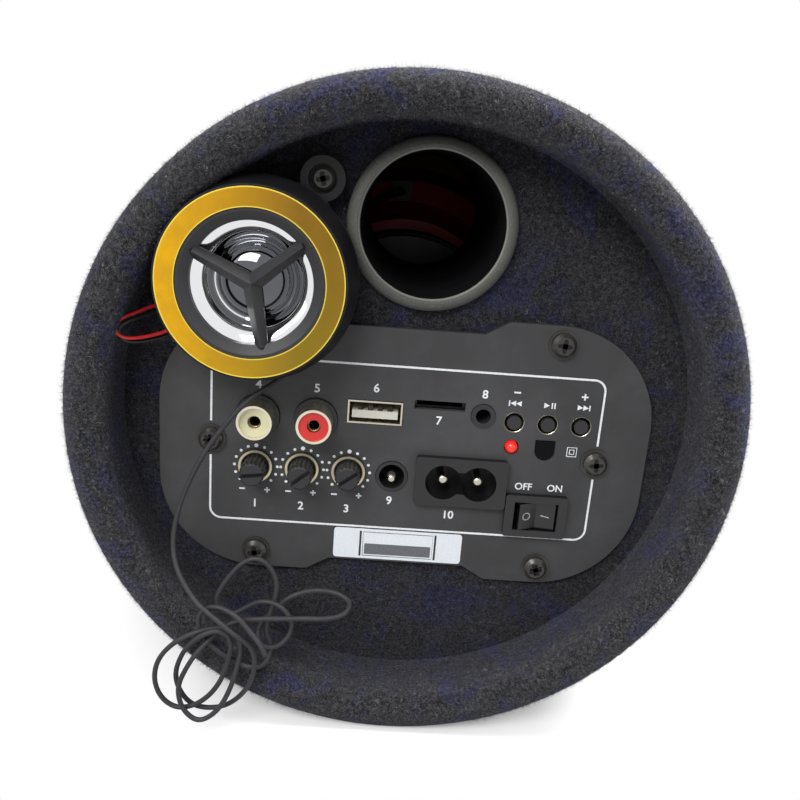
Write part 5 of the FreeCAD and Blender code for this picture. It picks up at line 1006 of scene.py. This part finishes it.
def print_signs(ink):
    """Previous, play and next over the buttons, with a minus and a plus above them."""
    previous, play, following = (centre_of("button_" + name)[0]
                                 for name in ("previous", "play", "next"))
    for x, to_right, end in ((previous, False, -1.65), (following, True, 1.5)):
        ink.triangle(x - 0.75, to_right)
        ink.triangle(x + 0.6, to_right)
        ink.bar(x + end, THIN_LINE)
    ink.triangle(play - 0.7)
    for across in (0.55, 1.2):
        ink.bar(play + across, 0.32)
    ink.minus(previous, 16.4, 0.8)
    ink.plus(following, 16.4, 0.8, 0.8)


def make_printing():
    """Border, dials, numbers and symbols."""
    ink = Ink()
    for side in (1, -1):
        ink.stroke(frame_line(side), 0.5)
    print_dials(ink)
    for text, x, z in (("4", -35.5, 14.0), ("5", -21.7, 14.0), ("6", -7.7, 15.0), ("7", 7.7, 8.0),
                       ("8", 18.2, 15.3), ("9", -2.8, -13.4), ("10", 12.0, -16.2)):
        ink.words(text, x, z, LETTER, 0.06)
    print_signs(ink)
    for text, x in (("OFF", 29.9), ("ON", 37.7)):
        ink.words(text, x, -7.4, SWITCH_LETTER, 0.05)
    for half in (1.15, 0.55):
        ink.stroke([(40.6 + x * half, 2.4 + z * half)
                    for x, z in ((-1, -1), (1, -1), (1, 1), (-1, 1), (-1, -1))], 0.22)
    ink.finished("panel_printing", white_ink)


def rounded(x, z, half_width, half_high, corner):
    """A rounded rectangle's corners, anticlockwise."""
    outline = []
    for sx, sz, start in ((1, -1, 270), (1, 1, 0), (-1, 1, 90), (-1, -1, 180)):
        outline += arc(x + sx * (half_width - corner), z + sz * (half_high - corner), corner,
                       start, start + 90, 5)
    return outline


def make_label():
    """A blank sticker in three fields under the controls."""
    outline = rounded(0.2, -25.3, 16.0, 4.0, 0.8)
    shape = bmesh.new()
    front, back = ([shape.verts.new(at(x, level, z)) for x, z in outline]
                   for level in (0.14, -0.02))
    shape.faces.new(front)
    shape.faces.new(back[::-1])
    join_rows(shape, front, back)
    piece("blank_label", mesh_of(shape, "blank_label"), label_white, "panel_black")
    rules, band = Ink(0.16), Ink(0.16)
    for x in (-9.15, 9.55):
        rules.stroke(((x, -21.9), (x, -28.7)), 0.5)
    left, right_side, foot, top = -8.5, 8.9, -28.5, -22.1
    rules.stroke(((left, foot), (right_side, foot), (right_side, top), (left, top), (left, foot)),
                 0.16)
    rules.finished("label_rules", label_line)
    band.patch(((left + 0.4, foot + 0.4), (right_side - 0.4, foot + 0.4),
                (right_side - 0.4, foot + 3.3), (left + 0.4, foot + 3.3)))
    band.finished("label_band", label_grey)


def make_rocker_marks():
    """O and a bar laid on the rocker's faces."""
    low, _, middle = box_of("switch_rocker")
    rocker = frame["nodes"]["switch_rocker"]
    back = rocker.matrix_world.inverted()
    inward = Vector((0, 1, 0))
    shape = bmesh.new()

    def on_face(u, v):
        """A point on the rocker, millimetres from its middle."""
        start = Vector((middle[0] + u * MM, low[1] - 5 * MM, middle[2] + v * MM))
        hit, where = rocker.ray_cast(back @ start, back.to_3x3() @ inward)[:2]
        place = rocker.matrix_world @ where if hit else start + inward * 5 * MM
        return shape.verts.new(place - inward * 0.04 * MM)

    turns = [2 * math.pi * i / 24 for i in range(24)]
    inner, outer = ([on_face(-2.45 + r * math.cos(a), r * math.sin(a)) for a in turns]
                    for r in (0.78, 1.02))
    join_rows(shape, inner, outer)
    shape.faces.new([on_face(u, v) for u, v in (
        (1.2, -0.02), (3.3, -0.42), (3.3, -0.16), (1.2, 0.24))])
    piece("rocker_marks", mesh_of(shape, "rocker_marks"), mark_grey, "gloss_black", "rocker")


# --- metal in the sockets, and the tweeter's bell ------------------------------------------

def make_usb_contacts():
    """Four sprung blades on the tongue, in brass painted near black as the shade they lie in."""
    middle = box_of("usb_socket")[2][0]
    tongue_front = box_of("usb_tongue")[0][1]
    top = panel_z + 9.25 * MM
    half_width, thick = 0.55, 0.22
    profile = ((0.3, 0.0), (0.9, 1.5), (1.6, 1.7), (5.0, 0.3), (9.0, 0.05))
    shape = bmesh.new()
    for across in (-3.5, -1.15, 1.15, 3.5):
        rows = [[shape.verts.new((
            middle + (across + side * half_width) * MM, tongue_front + back * MM,
            top + (high_up + lift) * MM))
            for side, lift in ((-1, 0.0), (1, 0.0), (1, thick), (-1, thick))]
            for back, high_up in profile]
        for here, there in zip(rows, rows[1:]):
            join_rows(shape, there, here)
        shape.faces.new(rows[0][::-1])
        shape.faces.new(rows[-1])
    bmesh.ops.recalc_face_normals(shape, faces=shape.faces)
    piece("usb_contacts", mesh_of(shape, "usb_contacts"), contact_black, "brass")


def turned_piece(name, profile, centre, count, finish, slot, **more):
    """A smooth piece of revolution, its profile in millimetres and a front plane's y."""
    corners, front = profile
    shape = lathe([(radius * MM, front + y * MM) for radius, y in corners], centre, count)
    piece(name, mesh_of(shape, name, True), finish, slot, **more)


def make_phono_contacts():
    """The sprung tube inside each phono insert."""
    for side in ("left", "right"):
        low, _, centre = box_of("phono_insert_" + side)
        turned_piece("phono_contact_" + side, (
            ((1.15, 0.3), (1.3, 0), (1.58, 0), (1.58, 7), (1.15, 7)), low[1] + 0.9 * MM),
            centre, 36, contact_dark, "brass")


def make_bell():
    """The tweeter's bright bell: nearly flat at its mouth, steep at its throat."""
    low, high, centre = box_of("tweeter_reflector")
    outer = (high[0] - low[0]) / 2
    throat, skin, flare = 7.62 * MM, 0.8 * MM, 2.6
    foot, mouth = throat + 1.2 * MM, outer - 1.1 * MM
    floor_y, top_y = high[1] - skin, low[1]

    def depth(t):
        return floor_y + (top_y - floor_y) * (1 - (1 - t) ** flare)

    bell = [(throat, high[1]), (throat, floor_y)]
    bell += [(foot + (mouth - foot) * i / 12, depth(i / 12)) for i in range(13)]
    bell += [(outer, top_y), (outer, top_y + skin), (mouth, top_y + skin)]
    for step in range(8, -1, -1):
        t = step / 8 * 0.9
        bell.append((foot + skin + (mouth - foot - skin) * t, min(depth(t) + skin, high[1])))
    piece("tweeter_bell", mesh_of(lathe(bell, centre), "tweeter_bell", True),
          finishes["chrome"], "chrome", replaces=("tweeter_reflector",))


def make_button_rims():
    """Bare edges of the holes round the three buttons."""
    for name in ("previous", "play", "next"):
        turned_piece("button_rim_" + name, (
            ((2.47, 0.02), (2.42, 0.02), (1.95, 0.9), (2.47, 0.9)), face_y),
            box_of("button_" + name)[2], 48, bare_edge, "panel_black")


def make_pin_tips():
    """Rounded ends of the pins in the mains and low-voltage sockets."""
    low, high, (_, _, height) = box_of("mains_pins")
    inset = 1.2 * MM
    for name, centre, radius, tip in (
            ("left", (low[0] + inset, 0, height), 1.2, low[1]),
            ("right", (high[0] - inset, 0, height), 1.2, low[1]),
            ("supply", box_of("supply_socket")[2], 1.0, face_y + 0.8 * MM)):
        dome = [(radius * math.cos(a), -radius * 0.6 * math.sin(a))
                for a in (math.pi / 2 * i / 6 for i in range(7))]
        turned_piece("pin_tip_" + name, (
            ((0, 0.2), (radius * 0.98, 0.2), *dome), tip), centre, 32,
            finishes["nickel"], "brass")


def heads_of(node):
    """The middle of each screw's head, from the vertices of its front face."""
    screws = frame["nodes"][node]
    points = [screws.matrix_world @ v.co for v in screws.data.vertices]
    front = min(p.y for p in points)
    heads = []
    for p in (p for p in points if p.y < front + 0.02 * MM):
        for head in heads:
            if math.hypot(head[0].x - p.x, head[0].z - p.z) < 5 * MM:
                head.append(p)
                break
        else:
            heads.append([p])
    return [Vector(((min(p.x for p in head) + max(p.x for p in head)) / 2, front,
                    (min(p.z for p in head) + max(p.z for p in head)) / 2)) for head in heads]


def make_screw_crosses():
    """A flat dark cross on every screw's head: painted shade for its deep cross recess."""
    shape = bmesh.new()
    for node, reach in (("panel_screws", 1.75), ("tweeter_screw", 1.5)):
        arm_outline = ((0, -0.62), (reach * 0.55, -0.52), (reach, -0.26),
                       (reach, 0.26), (reach * 0.55, 0.52), (0, 0.62))
        for number, head in enumerate(heads_of(node)):
            start = head - Vector((0, 0.02 * MM, 0))
            for arm in range(4):
                angle = 0.35 + number * 0.9 + arm * math.pi / 2
                along = Vector((math.cos(angle), 0, math.sin(angle)))
                aside = Vector((-along.z, 0, along.x))
                shape.faces.new([shape.verts.new(start + (along * a + aside * b) * MM)
                                 for a, b in arm_outline])
    piece("screw_recess_shade", mesh_of(shape, "screw_recess_shade"), painted_recess_shade, "black_screw")


# --- assembly ------------------------------------------------------------------------------

for name, nodes, route, radius, rubber_or_wire, far_end, lay in (
        ("aerial", ("antenna_cord", "antenna_hank"), AERIAL + AERIAL_COIL, 0.6, "cord_rubber",
         "bare", "coiled"),
        ("red_lead", ("tweeter_lead_red",), RED_LEAD, 0.4, "lead_red", "object", "loose"),
        ("black_lead", ("tweeter_lead_black",), BLACK_LEAD, 0.4, "lead_black", "object", "loose"),
        ("woofer_lead", ("speaker_lead",), SPEAKER_LEAD, 1.5, "cord_rubber", "object", "loose")):
    cord = lay_cord(name, route, radius * MM, finishes[rubber_or_wire])
    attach(cord, "cabinet")
    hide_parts(*nodes)
    cord_length(cord)

make_fuzz()
make_punched_grille()
make_printing()
make_label()
make_rocker_marks()
make_usb_contacts()
make_phono_contacts()
make_bell()
make_button_rims()
make_pin_tips()
make_screw_crosses()


# --- studio --------------------------------------------------------------------------------

def white_rays(tree):
    """1 for the camera's rays and for mirrored or refracted ones, which see a white room."""
    rays = add_node(tree, "ShaderNodeLightPath").outputs
    shown = rays["Is Camera Ray"]
    for kind in ("Is Glossy Ray", "Is Transmission Ray"):
        shown = add_node(tree, "ShaderNodeMath", (0, shown), (1, rays[kind]),
                         operation="MAXIMUM").outputs[0]
    return shown


def paper_finish():
    """Pale paper that keeps shadows near the object and fades to white away from it."""
    f = Finish("pale_paper", Roughness=1.0, Specular_IOR_Level=0.0)
    paper = f.blend(f.noise(3, 2), (244, 243, 242), (243.46, 242.46, 241.47))
    # Painted shade: bounced light sees the paper grey, so it lights the object's underside less.
    f.colour(f.node("LightPath")["Is Diffuse Ray"], paper, (150, 150, 152))
    # The object's half width and half length on the floor are at a distance of 1.
    away = f.spread(f.reach((0, 0, 0), (1 / 0.077, 1 / 0.107, 0)), 0.86, 1.14)
    glow = f.node("Emission", ("Color", (1, 1, 1, 1)), ("Strength", 1.0))[0]
    mixed = f.node("MixShader", (0, f.math("MULTIPLY", away, white_rays(f.tree))),
                   (1, f.shader.outputs[0]), (2, glow))[0]
    f.tree.links.new(mixed, f.tree.nodes["Material Output"].inputs["Surface"])
    return f.material


def make_floor():
    size, level = 6.0, -0.1 * MM
    shape = bmesh.new()
    shape.faces.new([shape.verts.new((x * size, y * size, level))
                     for x, y in ((-1, -1), (1, -1), (1, 1), (-1, 1))])
    floor = placed("floor", mesh_of(shape, "floor"))
    floor.data.materials.append(paper_finish())


def make_world():
    """Soft light, and plain white where the camera or a mirror looks."""
    world = bpy.data.worlds.new("studio")
    world.use_nodes = True
    bpy.context.scene.world = world
    tree = world.node_tree
    tree.nodes.clear()
    soft, white = (add_node(tree, "ShaderNodeBackground", ("Color", colour),
                            ("Strength", strength)).outputs[0]
                   for colour, strength in (((0.93, 0.96, 1.0, 1.0), 0.34), ((1, 1, 1, 1), 1.0)))
    mix = add_node(tree, "ShaderNodeMixShader", (0, white_rays(tree)), (1, soft), (2, white))
    add_node(tree, "ShaderNodeOutputWorld", ("Surface", mix.outputs[0]))


def lamp(name, place, size, power, tint=(1.0, 1.0, 1.0)):
    """A soft rectangular lamp aimed at the object's near end."""
    aim = Vector((0.0, -0.09, 0.08))
    data = bpy.data.lights.new(name, "AREA")
    data.shape = "RECTANGLE"
    data.size, data.size_y = size
    data.energy = power
    data.color = tint
    light = placed(name, data)
    light.location = place
    light.rotation_euler = (aim - Vector(place)).to_track_quat("-Z", "Y").to_euler()


make_floor()
make_world()
lamp("overhead", (0.3, 0.06, 0.75), (0.6, 0.4), 18.0)
lamp("front_soft", (-0.32, -0.72, 0.68), (0.6, 0.4), 8.5)
lamp("left_window", (-0.75, -0.45, 0.45), (0.5, 0.6), 1.2, (0.97, 0.98, 1.0))
lamp("right_fill", (0.8, -0.2, 0.4), (0.5, 0.5), 1.5)
